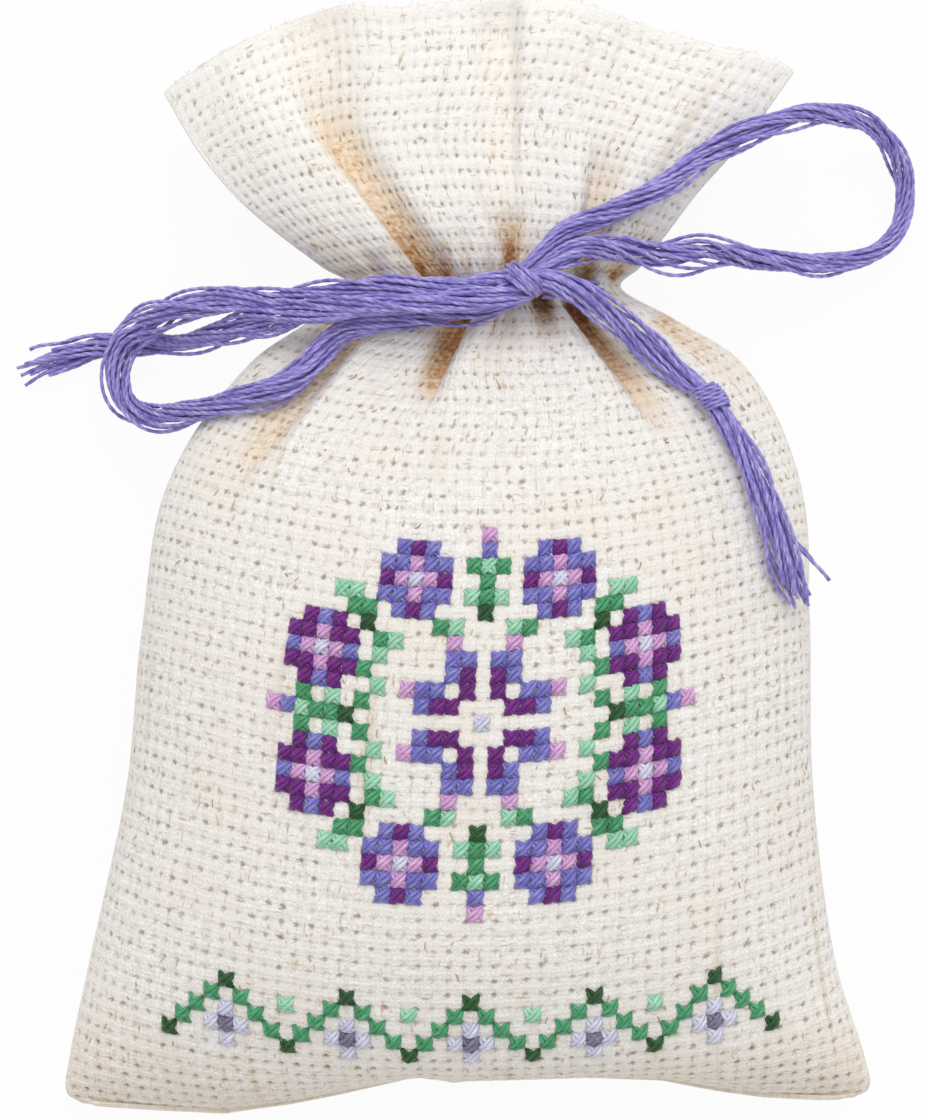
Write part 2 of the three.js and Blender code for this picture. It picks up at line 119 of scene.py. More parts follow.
# White laminate: to the eye an even white with a trace of the sachet's shadow, and a white board to the
# light that comes back from it.
white_table, add = new_material("white_laminate")
board = add("BsdfDiffuse", {"Color": tint("f7f7f7")})
glow = add("Emission")
ray = add("LightPath")
mirrored = add("Math", {0: ray.outputs["Is Glossy Ray"], 1: ray.outputs["Is Transmission Ray"]},
               operation="MAXIMUM")
direct = add("Math", {0: ray.outputs["Is Camera Ray"], 1: mirrored}, operation="MAXIMUM")
seen = add("Math", {0: direct, 1: TABLE_GLOW}, operation="MULTIPLY")
blend = add("MixShader", {0: seen, 1: board, 2: glow})
add("OutputMaterial", {"Surface": blend})
table.data.materials.append(white_table)

# The bag: two panels of cream evenweave, sewn together along the sides and the bottom and turned, with
# the mouth folded inwards as a hem. Buds fill the body, and the neck above them is drawn in and tied.
# Its shape is charted in millimetres, and the small measures of the cloth are in metres.
MM = 0.001
ROW_SHIFT = -51
NECK = np.array([1.7, 75.7])
WEAVE_COLUMNS = 56
WEAVE_ROWS = 79
BLOCK_STEPS = 4
FINE_COLUMNS = 900
CLOTH_THICKNESS = 0.0006
HEM_THICKNESS = 0.0013
HEM_ROWS = 5
MOUTH_REACH = 16
BOTTOM_REACH = 13
SIM_SCALE = 10
SIM_FRAMES = 14
SIM_REACH = 0.0011
MOVE_PASSES = 5
COLUMN_EASE = 6
FOLD_CROWDING = 0.6
FOLD_STARTS = (-0.02, 0.08)
FOLD_ENDS = (0.75, 1.15)
FOLD_EDGES = (5, 2)
LIP_PLACE = 1.5
LIP_WIDTH = 0.9
LIP_SHARE = 0.2
SHADE_POWER = 1.3
CREASE_SHARE = 0.9
CREASE_SLACK = 0.8
PANEL_GAP = 1.2
GAP_OPENING = 4
GATHER_PLACES = (-11.5, 12, 1.9)

# Stations of the bag in millimetres, from the bottom corners: middle, sides, width, lean to the right,
# height of the seam, of the front and of the back, and how lens-like the section is.
stations = np.array([
    [0, 0, 71.4, 0, 9.6, 9.6, 9.6, 0.5],
    [0.25, 0.9, 74, 0, 9.8, 12.4, 7.2, 0.5],
    [2.4, 4.4, 73.4, -0.1, 10, 17.4, 2.6, 0.5],
    [11.6, 13.7, 68.9, -0.5, 10, 23.6, -2.1, 0.52],
    [28.4, 29.6, 63.5, 0.15, 10, 26.3, -3, 0.5],
    [44.6, 43.7, 61.7, 0.7, 10, 26, -3, 0.5],
    [59.9, 58.8, 57.6, 1.6, 10, 22.1, -1.05, 0.5],
    [68.8, 69, 45, 2.6, 10, 16.9, 3.5, 0.5],
    [73.4, 73, 33, 2.3, 10, 14.2, 5.4, 0.5],
    [75.7, 75.7, 24.8, 1.8, 10, 12.9, 6.4, 0.5],
    [78, 77.6, 29.3, 1.25, 10, 13.9, 5.8, 0.5],
    [87.5, 84.5, 43.1, -0.25, 10, 13.6, 7.2, 0.62],
    [102, 94.6, 58.2, 1, 9.4, 12.6, 6.2, 0.7],
])
NECK_STATION = 9
ridge = np.concatenate([[0], np.cumsum(np.hypot(np.diff(stations[:, 0]), np.diff(stations[:, 5])))])
seam_run = np.concatenate([[0], np.cumsum(np.hypot(np.diff(stations[:, 1]), np.diff(stations[:, 2]) / 2))])
NECK_ROW = ridge[NECK_STATION] / ridge[-1] * WEAVE_ROWS

# How far the mouth and the bottom edge wave up and down across the bag.
MOUTH_WAVE_X = [-29.6, -26.9, -21.8, -13.5, -8.4, -2, 7.4, 10.9, 15.8, 22, 28.4]
MOUTH_WAVE_Y = [-1, -1.2, -0.4, 0.7, -0.3, 0, 0.5, 0, -0.9, -0.7, 1]
BOTTOM_WAVE_X = [-36, -30.6, -22.6, -16.2, -12, -4.5, -1.3, 0.2, 11, 18, 23, 27.3, 32.6, 36]
BOTTOM_WAVE_Y = [0.3, 0, -0.4, 0.5, 1.3, 3, 2.4, 2.6, 2.9, 2.6, 1.7, 1.1, 0.8, 0.8]

# Creases of the gathers, from the middle of the neck, in millimetres: start and end of a valley, its
# depth at both, how far the cloth rolls into it from the left and from the right at both, and how much
# of the light it keeps out at both. A negative depth is a raised fold.
frill_folds = [
    ((-3.9, -1.4), (-17.2, 17), (2.4, 1.5), (0.25, 0.6), (2.2, 3), (0.85, 0.2)),
    ((-13, 9), (-17.8, 27), (0, 3.4), (1.4, 2.6), (2.8, 4.6), (0.18, 0.12)),
    ((2.1, 6), (1.9, 27), (0, 2.6), (2.2, 3.2), (0.7, 1.1), (0.1, 0.07)),
    ((6.9, 7), (6.2, 27), (0, -1.2), (2, 2.6), (2, 2.6), (0, 0)),
    ((7.9, -1.2), (10.4, 12.5), (2.6, 1.4), (0.25, 0.6), (1.5, 2.6), (0.7, 0.12)),
    ((9.6, 7), (14.4, 27), (0, 1.4), (1.4, 2.4), (3, 4.5), (0.05, 0.03)),
    ((-10, 1.7), (-25, 21), (-0.8, -2.2), (4, 4), (3, 3), (0, 0)),
    ((12, 1.7), (24, 22), (-0.6, -1), (4, 4), (4, 4), (0, 0)),
    ((11, 0.8), (16, 6.5), (1.8, 0), (0.5, 1), (0.7, 1.2), (0.7, 0)),
]
front_folds = [
    ((2.4, -0.4), (2.1, 7.6), (2.4, 0.5), (0.04, 2), (0.04, 2), (1.3, 0.3)),
    ((-0.8, -1), (-5.6, -11), (5.2, 1.2), (2.2, 1.5), (0.25, 0.5), (1.3, 0.6)),
    ((7, -1.2), (16.4, -14), (4.6, 0.4), (0.25, 0.5), (0.9, 1.9), (1.1, 0.15)),
    ((-11, -3.2), (-23, -18.4), (2.8, 1.1), (3.4, 2.6), (0.7, 0.9), (0.6, 0.34)),
    ((15.2, -2.6), (24.4, -9.8), (2.4, 0.2), (0.5, 1), (1.4, 2), (0.65, 0.05)),
    ((4.8, -0.6), (6.2, -5), (2.6, 0), (0.8, 0.8), (0.8, 0.8), (0.8, 0)),
]
gathers = np.random.default_rng(4)
for start in np.arange(*GATHER_PLACES):
    for way, folds in ((1, frill_folds), (-1, front_folds)):
        root = start + gathers.uniform(-0.6, 0.6)
        reach = gathers.uniform(3.5, 7)
        lean = root * gathers.uniform(0.04, 0.09)
        depth = gathers.uniform(0.5, 1.2)
        folds.append(((root, way * 0.4), (root + lean * reach, way * reach), (depth, 0),
                      (0.45, 0.9), (0.45, 0.9), (0.4, 0)))


def loft(place):
    """The sections of the bag at these distances along its ridge, on a smooth curve through the stations."""
    after = np.clip(np.searchsorted(ridge, place, side="right"), 1, len(ridge) - 1)
    before = after - 1
    low, high = ridge[before], ridge[after]
    earlier = np.where(before == 0, after, before - 1)
    later = np.where(after == len(ridge) - 1, before, np.minimum(after + 1, len(ridge) - 1))
    half = (high - low) / 2
    weight_in = (half / (low - ridge[earlier]))[:, None]
    weight_out = (half / (ridge[later] - high))[:, None]
    p = ((place - low) / (high - low))[:, None]
    return (-weight_in * (p ** 3 - 2 * p ** 2 + p) * stations[earlier]
            + ((1 + weight_in) * p ** 3 - (1.5 + 2 * weight_in) * p ** 2
               + (weight_in - 0.5) * p + 1) * stations[before]
            + (-(1 + weight_out) * p ** 3 + (1.5 + weight_out) * p ** 2 + 0.5 * p) * stations[after]
            + weight_out * (p ** 3 - p ** 2) * stations[later]).T


def ease(value, low, high):
    """Runs smoothly from 0 at low to 1 at high."""
    t = np.clip((value - low) / (high - low), 0, 1)
    return t * t * (3 - 2 * t)


def mixed(pair, t):
    """Runs evenly from the first of a pair at 0 to the second at 1."""
    return pair[0] + (pair[1] - pair[0]) * t


def creases(folds, x, y):
    """How deep the folds press the cloth in at these places, and how much light they keep out."""
    depth, shade = np.zeros_like(x), np.zeros_like(x)
    for start, end, depths, left, right, shades in folds:
        run = np.subtract(end, start)
        offset_x, offset_y = x - NECK[0] - start[0], y - NECK[1] - start[1]
        along = (offset_x * run[0] + offset_y * run[1]) / (run @ run)
        to_right = (offset_x * run[1] - offset_y * run[0]) / np.hypot(*run) * np.sign(run[1])
        t = np.clip(along, 0, 1)
        roll = np.where(to_right > 0, mixed(right, t), mixed(left, t))
        fade = ease(along, *FOLD_STARTS) * (1 - ease(along, *FOLD_ENDS))
        profile = fade * np.exp(-np.abs(to_right / roll) ** mixed(FOLD_EDGES, t))
        crisp_side = np.sign(right[0] - left[0])
        lip = abs(crisp_side) * fade * np.exp(-((to_right * crisp_side + LIP_PLACE) / LIP_WIDTH) ** 2)
        depth += mixed(depths, t) * (profile - LIP_SHARE * lip)
        shade += mixed(shades, t) * profile ** SHADE_POWER
    return depth, shade


def cloth_row(front, share):
    """One row of the weave across a panel, and where its columns lie if they are spread evenly over it.
    The row runs as far along the seams as along the ridge, so it sags where the bag is full."""
    side = np.sin(np.linspace(-1, 1, FINE_COLUMNS) * math.pi / 2)
    on_ridge = share * ridge[-1]
    on_seam = np.interp(share * seam_run[-1], seam_run, ridge)
    place = on_ridge + (on_seam - on_ridge) * side ** 2
    up, side_up, width, lean, seam, front_height, back_height, lens = loft(place)
    swell = np.clip(1 - side ** 2, 0, 1) ** lens
    x = lean + width / 2 * side
    y = side_up + (up - side_up) * swell
    y += ease(place, ridge[-1] - MOUTH_REACH, ridge[-1]) * np.interp(x - NECK[0], MOUTH_WAVE_X, MOUTH_WAVE_Y)
    y += (1 - ease(place, 0, BOTTOM_REACH)) * np.interp(x, BOTTOM_WAVE_X, BOTTOM_WAVE_Y)
    pressed, shade = creases(frill_folds, x, y)
    back = np.maximum(seam - (seam - back_height) * swell - swell * pressed, 0)
    z = back
    if front:
        only_front, front_shade = creases(front_folds, x, y)
        rise = front_height - seam
        deepest = CREASE_SHARE * rise + CREASE_SLACK
        z = seam + rise * swell - swell * (pressed + np.minimum(only_front, deepest))
        z = np.maximum(z, back + PANEL_GAP * np.minimum(swell * GAP_OPENING, 1))
        shade = shade + front_shade
    shade = np.clip(shade, 0, 1)
    steps = np.sqrt(np.diff(x) ** 2 + np.diff(y) ** 2 + np.diff(z) ** 2)
    run = np.concatenate([[0], np.cumsum(steps * (1 + FOLD_CROWDING * shade[1:]))])
    columns = np.linspace(0, run[-1], WEAVE_COLUMNS * BLOCK_STEPS + 1)
    points = np.stack([x * MM, (y + ROW_SHIFT) * MM, z * MM, shade])
    return points, np.interp(columns, run, np.arange(FINE_COLUMNS))


def cloth_grid(front):
    """A panel's points, row by row, and their shade. Its columns run on smoothly from row to row."""
    rows = [cloth_row(front, share) for share in np.linspace(0, 1, WEAVE_ROWS * BLOCK_STEPS + 1)]
    columns = np.array([r[1] for r in rows])
    reach = 3 * COLUMN_EASE
    bell = np.exp(-(np.arange(-reach, reach + 1) / COLUMN_EASE) ** 2 / 2)
    padded = np.pad(columns, ((reach, reach), (0, 0)), mode="reflect", reflect_type="odd")
    columns = sum(share * padded[k:k + len(rows)] for k, share in enumerate(bell / bell.sum()))
    columns = np.clip(columns, 0, FINE_COLUMNS - 1)
    points = np.array([[np.interp(at, np.arange(FINE_COLUMNS), line) for line in row[0]]
                       for row, at in zip(rows, columns)])
    return np.moveaxis(points[:, :3], 1, 2), points[:, 3]


def sew(front, back):
    """Joins the back to the front along the sides and the bottom."""
    back[:, 0], back[:, -1], back[0] = front[:, 0], front[:, -1], front[0]


front_grid, front_shade = cloth_grid(True)
back_grid, back_shade = cloth_grid(False)
sew(front_grid, back_grid)


def quads(index):
    """The faces between the points of a grid, by their numbers."""
    return np.stack([index[:-1, :-1], index[:-1, 1:], index[1:, 1:], index[1:, :-1]], 2).reshape(-1, 4)


def between(values):
    """A grid of block corners, evened out and filled in with the points between them."""
    for axis in (0, 1):
        values = np.moveaxis(values, axis, 0)
        for _ in range(MOVE_PASSES):
            padded = np.pad(values, ((1, 1), (0, 0), (0, 0)), mode="edge")
            values = (padded[:-2] + 2 * values + padded[2:]) / 4
        at = np.arange((len(values) - 1) * BLOCK_STEPS + 1) / BLOCK_STEPS
        low = np.minimum(at.astype(int), len(values) - 2)
        part = (at - low).reshape(-1, 1, 1)
        values = np.moveaxis(values[low] * (1 - part) + values[low + 1] * part, 0, axis)
    return values


def add_piece(name, points, faces):
    """A new piece with these points and faces."""
    mesh = bpy.data.meshes.new(name)
    mesh.from_pydata(points.tolist(), [], faces)
    piece = bpy.data.objects.new(name, mesh)
    scene.collection.objects.link(piece)
    return piece


# The sewn bag as one mesh with a quad for each block of the weave, blown up a little as the buds do. The
# neck, the seams and what rests on the table are held in place.
HOLD_LOSS = 0.7
HOLD_LOSS_ROWS = (4, 12)
MOUTH_HOLD = 0.4
SEAM_HOLD = 0.8
RESTING_HEIGHT = 0.0004
CLOTH_SETTINGS = {
    "quality": 6, "mass": 0.2, "tension_stiffness": 25, "compression_stiffness": 25, "shear_stiffness": 8,
    "bending_stiffness": 0.6, "use_pressure": True, "uniform_pressure_force": 3, "shrink_min": -0.025,
    "vertex_group_mass": "held", "pin_stiffness": 2,
}
row_count, column_count = WEAVE_ROWS + 1, WEAVE_COLUMNS + 1
front_index = np.arange(row_count * column_count).reshape(row_count, column_count)
back_index = front_index.copy()
back_index[1:, 1:-1] = np.arange((row_count - 1) * (column_count - 2)).reshape(row_count - 1, -1)
back_index[1:, 1:-1] += front_index.size
front_corners = front_grid[::BLOCK_STEPS, ::BLOCK_STEPS]
back_corners = back_grid[::BLOCK_STEPS, ::BLOCK_STEPS]
start_points = np.concatenate([front_corners.reshape(-1, 3), back_corners[1:, 1:-1].reshape(-1, 3)])
bag_faces = np.concatenate([quads(front_index), quads(back_index)[:, ::-1]])
bag = add_piece("bag", start_points * SIM_SCALE, bag_faces.tolist())
held = bag.vertex_groups.new(name="held")
for row in range(row_count):
    near = 1 - HOLD_LOSS * float(ease(abs(row - NECK_ROW), *HOLD_LOSS_ROWS))
    for index in (front_index, back_index):
        held.add(index[row].tolist(), near if row < row_count - 1 else MOUTH_HOLD, "REPLACE")
resting = np.where(start_points[:, 2] < RESTING_HEIGHT)[0]
held.add(resting.tolist(), 1, "REPLACE")
for seam in (front_index[0], front_index[:, 0], front_index[:, -1]):
    held.add(seam.tolist(), SEAM_HOLD, "REPLACE")
cloth = bag.modifiers.new("cloth", "CLOTH")
for name, value in CLOTH_SETTINGS.items():
    setattr(cloth.settings, name, value)
cloth.settings.effector_weights.gravity = 0
cloth.collision_settings.use_collision = False
cloth.point_cache.frame_end = SIM_FRAMES
for step in range(1, SIM_FRAMES + 1):
    scene.frame_set(step)
shaped = bag.evaluated_get(bpy.context.evaluated_depsgraph_get()).data
move = np.array([v.co for v in shaped.vertices]) / SIM_SCALE - start_points
scene.frame_set(1)
bpy.data.objects.remove(bag)
move *= np.minimum(1, SIM_REACH / np.maximum(np.linalg.norm(move, axis=1, keepdims=True), 1e-9))
front_grid += between(move[front_index])
back_grid += between(move[back_index])
sew(front_grid, back_grid)
for grid in (front_grid, back_grid):
    grid[..., 2] = np.maximum(grid[..., 2], 0)

# Cotton and linen evenweave, bleached cream. The eye sees pale blocks of a fine plain weave, a small hole
# at each corner of a block darkened with painted shade, paler and darker threads with painted shade
# between them, and tan flecks of straw. The folds and the bottom edge get warm painted shade, and the
# empty frill gets painted light.
# Its map and its patterns count in blocks of 1.41 mm, and its depths are in metres.
THREADS_PER_BLOCK = 3
HOLE_DEPTH = 0.00032
FURROW_DEPTH = 0.00024
HOLE_HALF = (0.19, 0.16)
HOLE_SIZES = (0.35, 1.2)
FURROW_HALF = (0.14, 0.15)
FURROW_SHARE = (0.12, 0.16)
SINK_FROM_SEAM = (0.2, 1.2)
HOLES_FROM_SEAM = (0.3, 1.3)
HEM_HOLES = 0.75
SEAM_THICKNESS = 0.00025
SEAM_TAPER = (0.5, 4.5)
BOTTOM_SHADE = 0.24
BOTTOM_SHADE_ROWS = 11
EMPTYING_ROWS = 8
evenweave, add = new_material("cotton_linen_evenweave")
grid = add("UVMap", uv_map="weave")
wobble = add("TexNoise", {0: grid, "Scale": 0.7, "Detail": 1})
ragged = add("TexNoise", {0: grid, "Scale": 4.5, "Detail": 1})
drift = add("VectorMath", {0: wobble.outputs["Color"], 1: (0.5, 0.5, 0.5)}, operation="SUBTRACT")
tatter = add("VectorMath", {0: ragged.outputs["Color"], 1: (0.5, 0.5, 0.5)}, operation="SUBTRACT")
bent = add("VectorMath", {0: drift, 1: (0.25, 0.28, 0), 2: grid}, operation="MULTIPLY_ADD")
torn = add("VectorMath", {0: tatter, 1: (0.5, 0.32, 0), 2: bent}, operation="MULTIPLY_ADD")
parts = add("SeparateXYZ", {0: torn})
from_column = add("Math", {0: parts.outputs[0], 1: 0.5}, operation="PINGPONG")
from_row = add("Math", {0: parts.outputs[1], 1: 0.5}, operation="PINGPONG")

# Holes of uneven size at the corners of the blocks, and broken gaps along their edges, darkened with painted
# shade.
corner = add("CombineXYZ", {0: from_column, 1: from_row})
stretch = add("VectorMath", {0: corner, 1: (0.85, 1.2, 0)}, operation="MULTIPLY")
from_hole = add("VectorMath", {0: stretch}, operation="LENGTH")
dot = add("MapRange", {0: from_hole, "From Min": 0.06, "From Max": 0.27, "To Min": 1, "To Max": 0},
          interpolation_type="SMOOTHSTEP")
nearest = add("VectorMath", {0: bent, 1: (0.5, 0.5, 0.5)}, operation="ADD")
number = add("VectorMath", {0: nearest}, operation="FLOOR")
chance = add("TexWhiteNoise", {0: number}, noise_dimensions="2D")
open_share = add("MapRange", {0: chance, "To Min": 0.12})
stretched = add("Math", {0: dot, 1: open_share}, operation="MULTIPLY")
loose = add("MapRange", {0: ragged, "From Min": 0.38, "From Max": 0.62})
row_gap = add("MapRange", {0: from_row, "From Max": 0.2, "To Min": 0.17, "To Max": 0},
              interpolation_type="SMOOTHSTEP")
column_gap = add("MapRange", {0: from_column, "From Max": 0.16, "To Min": 0.12, "To Max": 0},
                 interpolation_type="SMOOTHSTEP")
gaps = add("Math", {0: row_gap, 1: column_gap}, operation="MAXIMUM")
broken = add("Math", {0: gaps, 1: loose}, operation="MULTIPLY")
open_gap = add("Math", {0: stretched, 1: broken}, operation="MAXIMUM")
single = add("Attribute", attribute_name="single")
gap = add("Math", {0: open_gap, 1: single.outputs["Fac"]}, operation="MULTIPLY")
painted_hole_shade_share = add("Math", {0: gap, 1: 0.74}, operation="MULTIPLY")

# Fine threads that cross over and under inside each block, with painted shade between them.
fine = add("VectorMath", {0: torn, 3: THREADS_PER_BLOCK * math.pi}, operation="SCALE")
fine_parts = add("SeparateXYZ", {0: fine})
warp_wave = add("Math", {0: fine_parts.outputs[0]}, operation="SINE")
weft_wave = add("Math", {0: fine_parts.outputs[1]}, operation="SINE")
crossing = add("Math", {0: warp_wave, 1: weft_wave}, operation="MULTIPLY")
weft_over = add("MapRange", {0: crossing, "From Min": -0.3, "From Max": 0.3})
knuckle = add("Math", {0: crossing}, operation="ABSOLUTE")
furrow_share = add("MapRange", {0: knuckle, "From Max": 0.45, "To Min": 0.5, "To Max": 0})
painted_thread_gap_shade = add("Math", {0: furrow_share, 1: loose}, operation="MULTIPLY")

# Uneven yarn, each kind by how often it changes in a block, across and up the bag.
yarns = []
for changes, detail, roughness in (
        ((1, 3.4, 1), 3, 0.5), ((3.4, 1, 1), 3, 0.5), ((2.6, 0.8, 1), 2, 0.6), ((0.8, 3, 1), 2, 0.6),
        ((0.6, 0.05, 1), 3, 0.5)):
    place = add("Mapping", {0: grid, "Scale": changes})
    yarns.append(add("TexNoise", {0: place, "Scale": 1, "Detail": detail, "Roughness": roughness}))
weft, warp, straw, chaff, slub = yarns
threads = add("Mix", {0: weft_over, 2: warp, 3: weft})
tone = add("MapRange", {0: threads, "From Min": 0.3, "From Max": 0.62})
patch = add("TexNoise", {0: grid, "Scale": 0.13})
raw_share = add("MapRange", {0: patch, "From Min": 0.42, "From Max": 0.68})
darkest = add("Math", {0: straw, 1: chaff}, operation="MAXIMUM")
fleck = add("MapRange", {0: darkest, "From Min": 0.61, "From Max": 0.74, "To Max": 0.6})
slub_share = add("MapRange", {0: slub, "From Min": 0.6, "From Max": 0.78, "To Max": 0.6})

# Painted light through the empty frill, and painted shade of the folds, which is darker between the threads.
unfilled = add("Attribute", attribute_name="unfilled")
glow = add("Math", {0: unfilled.outputs["Fac"], 1: 0.6}, operation="MULTIPLY")
fold = add("Attribute", attribute_name="fold")
deeper = add("MapRange", {0: weft, "From Min": 0.35, "From Max": 0.65, "To Min": 1.3, "To Max": 0.6})
shadow = add("Math", {0: fold.outputs["Fac"], 1: deeper}, operation="MULTIPLY")
painted_fold_shade_share = add("MapRange", {0: shadow, "From Max": 0.7})
painted_deep_fold_shade_share = add("MapRange", {0: shadow, "From Min": 0.5, "From Max": 1.1})

# Cream yarn, and the layers of colour over it one after the other: painted shade between the threads,
# patches of tone, painted light in the empty frill, slubs, straw flecks, painted shade in the holes and
# gaps, and warm painted shade in the folds.
colour = add("Mix", {0: tone, 6: tint("e9e4dc"), 7: tint("fcfaf7")}, data_type="RGBA")
for share, code, way in (
        (painted_thread_gap_shade, "ece8e2", "MULTIPLY"), (raw_share, "f3ede5", "MIX"), (glow, "fffdf8", "MIX"),
        (slub_share, "d9c5a8", "MIX"), (fleck, "b98f5c", "MIX"), (painted_hole_shade_share, "947f68", "MIX"),
        (painted_fold_shade_share, "f4dcba", "MULTIPLY"), (painted_deep_fold_shade_share, "d2a276", "MULTIPLY")):
    colour = add("Mix", {0: share, 6: colour, 7: tint(code)}, data_type="RGBA", blend_type=way)
fuzz = add("TexNoise", {0: grid, "Scale": 4.5, "Detail": 4, "Distortion": 1.2})
fuzz_share = add("MapRange", {0: unfilled.outputs["Fac"], "To Min": 0.55, "To Max": 0.8})
height = add("Mix", {0: fuzz_share, 2: knuckle, 3: fuzz})
bump = add("Bump", {"Height": height, "Strength": 0.75, "Distance": 0.00015})
surface = add("BsdfPrincipled", {"Base Color": colour, "Roughness": 0.9, "Specular IOR Level": 0.2,
              "Sheen Weight": 0.15, "Normal": bump})
add("OutputMaterial", {"Surface": surface})


def mark(mesh, label, values):
    """Keeps a value at each point of a mesh for its material."""
    mesh.attributes.new(label, "FLOAT", "POINT").data.foreach_set("value", np.float32(values).ravel())


def cloth_panel(name, grid, shade, outwards):
    """One panel as a shell, thicker along the hem, with the holes and furrows of the weave pressed into its
    outer face and the folds marked."""
    rows, columns = shade.shape
    faces = quads(np.arange(shade.size).reshape(shade.shape))
    if not outwards:
        faces = faces[:, ::-1]
    panel = add_piece(name, grid.reshape(-1, 3), faces.tolist())
    mesh = panel.data
    column, row = np.meshgrid(np.arange(columns) / BLOCK_STEPS, np.arange(rows) / BLOCK_STEPS)
    weave_map = np.stack([column, row], 2).reshape(-1, 2)[faces.ravel()]
    mesh.uv_layers.new(name="weave").data.foreach_set("uv", np.float32(weave_map).ravel())
    to_column, to_row = np.abs(column - np.round(column)), np.abs(row - np.round(row))
    uneven = np.random.default_rng(7).uniform(*HOLE_SIZES, (WEAVE_ROWS + 1, WEAVE_COLUMNS + 1))
    hole_size = uneven[np.round(row).astype(int), np.round(column).astype(int)]
    hole = np.exp(-(to_column / HOLE_HALF[0]) ** 2 - (to_row / HOLE_HALF[1]) ** 2) * hole_size
    furrow = (FURROW_SHARE[1] * np.exp(-(to_row / FURROW_HALF[1]) ** 2)
              + FURROW_SHARE[0] * np.exp(-(to_column / FURROW_HALF[0]) ** 2))
    from_mouth = WEAVE_ROWS - row
    to_side = np.minimum(np.minimum(column, WEAVE_COLUMNS - column), row)
    to_seam = np.minimum(to_side, from_mouth)
    sink = (HOLE_DEPTH * hole + FURROW_DEPTH * furrow) * ease(to_seam, *SINK_FROM_SEAM)
    past_hem = ease(from_mouth, HEM_ROWS - 1, HEM_ROWS + 3)
    # Painted warm shade of the folds and along the bottom rows, how far the holes open, and where the frill
    # is empty and gets painted light.
    mark(mesh, "fold", np.maximum(shade, BOTTOM_SHADE * (1 - ease(row, 0, BOTTOM_SHADE_ROWS))))
    mark(mesh, "single", ease(to_seam, *HOLES_FROM_SEAM) * mixed((HEM_HOLES, 1), past_hem))
    mark(mesh, "unfilled", ease(row, NECK_ROW, NECK_ROW + EMPTYING_ROWS))
    normal = np.zeros(shade.size * 3)
    mesh.vertices.foreach_get("normal", normal)
    place = grid - normal.reshape(grid.shape) * sink[..., None]
    place[..., 2] = np.maximum(place[..., 2], 0)
    mesh.vertices.foreach_set("co", np.float32(place).ravel())
    mesh.update()
    thickness = np.where(from_mouth < HEM_ROWS, HEM_THICKNESS, CLOTH_THICKNESS)
    thickness = mixed((SEAM_THICKNESS, thickness), ease(to_side, *SEAM_TAPER))
    layers = panel.vertex_groups.new(name="layers")
    for k, share in enumerate((thickness / HEM_THICKNESS).ravel().tolist()):
        layers.add((k,), share, "REPLACE")
    shell = panel.modifiers.new("shell", "SOLIDIFY")
    shell.thickness = HEM_THICKNESS
    shell.vertex_group = "layers"
    bpy.context.view_layer.objects.active = panel
    bpy.ops.object.modifier_apply(modifier="shell")
    mesh.shade_smooth()
    mesh.materials.append(evenweave)
    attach(panel, "bag")
    return panel


front_cloth = cloth_panel("front_cloth", front_grid, front_shade, True)
back_cloth = cloth_panel("back_cloth", back_grid, back_shade, False)
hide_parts("front_panel")
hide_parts("back_panel")

# Filling: loose dried lavender buds that keep the body round. They lie inside the cloth, a little short of
# it, and stop below the neck. The heap is one closed, lumpy piece, and its material shows the buds.
FILLING_ROWS = range(28, 200, 4)
FILLING_COLUMNS = slice(8, -8, 4)
FILLING_GAP = 0.0028
FILLING_LEAST = 0.3
BUD_ROUGHNESS = 0.0003


def tube_faces(first, rings, sides):
    """The faces of a closed tube of rings of points that are numbered from the first."""
    index = first + np.arange(rings * sides).reshape(rings, sides)
    beside = np.roll(index, -1, axis=1)
    walls = np.stack([index[:-1], beside[:-1], beside[1:], index[1:]], 2).reshape(-1, 4)
    return walls.tolist() + [index[0][::-1].tolist(), index[-1].tolist()]


bud_chance = np.random.default_rng(31)
rings = []
for row in FILLING_ROWS:
    ring = np.concatenate([front_grid[row, FILLING_COLUMNS], back_grid[row, FILLING_COLUMNS][::-1]])
    outwards = ring - ring.mean(0)
    reach = np.linalg.norm(outwards, axis=1, keepdims=True)
    lumps = bud_chance.uniform(-1, 1, reach.shape) * BUD_ROUGHNESS
    rings.append(ring.mean(0) + outwards * np.maximum(1 - (FILLING_GAP + lumps) / reach, FILLING_LEAST))
bud_faces = tube_faces(0, len(rings), len(rings[0]))
buds = add_piece("dried_lavender_buds", np.concatenate(rings), bud_faces)

# Dried lavender: grey-violet buds about two millimetres across, with painted light on their tops and painted
# shade in the gaps between them.
dried_lavender, add = new_material("dried_lavender")
place = add("TexCoord")
bud = add("TexVoronoi", {0: place.outputs["Object"], "Scale": 500})
painted_bud_light_and_shade = add("MapRange", {0: bud, "From Max": 0.7})
bud_colour = add("Mix", {0: painted_bud_light_and_shade, 6: tint("8d86a8"), 7: tint("3d3650")}, data_type="RGBA")
bump = add("Bump", {"Height": bud, "Distance": 0.0006}, invert=True)
surface = add("BsdfPrincipled", {"Base Color": bud_colour, "Roughness": 0.95, "Normal": bump})
add("OutputMaterial", {"Surface": surface})
buds.data.materials.append(dried_lavender)
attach(buds, "bag")
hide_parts("lavender_filling")

# Seams: cream sewing cotton along both sides and the bottom, on the inside because the bag is turned. Each
# thread runs a little way in from the edge, and the side seams are sewn up to the neck. From here on,
# lengths of thread are in millimetres.
STRAND_RADIUS = 0.13
STRAND_SIDES = 6
PLIES = 2
PLY_PITCH = 1.1
PLY_DEPTH = 0.2
TWIST_STARTS = 50
SEAM_INSET = 1.3
SIDE_SEAM = slice(8, int(NECK_ROW) * BLOCK_STEPS, 2)
BOTTOM_SEAM = slice(12, -12, 2)


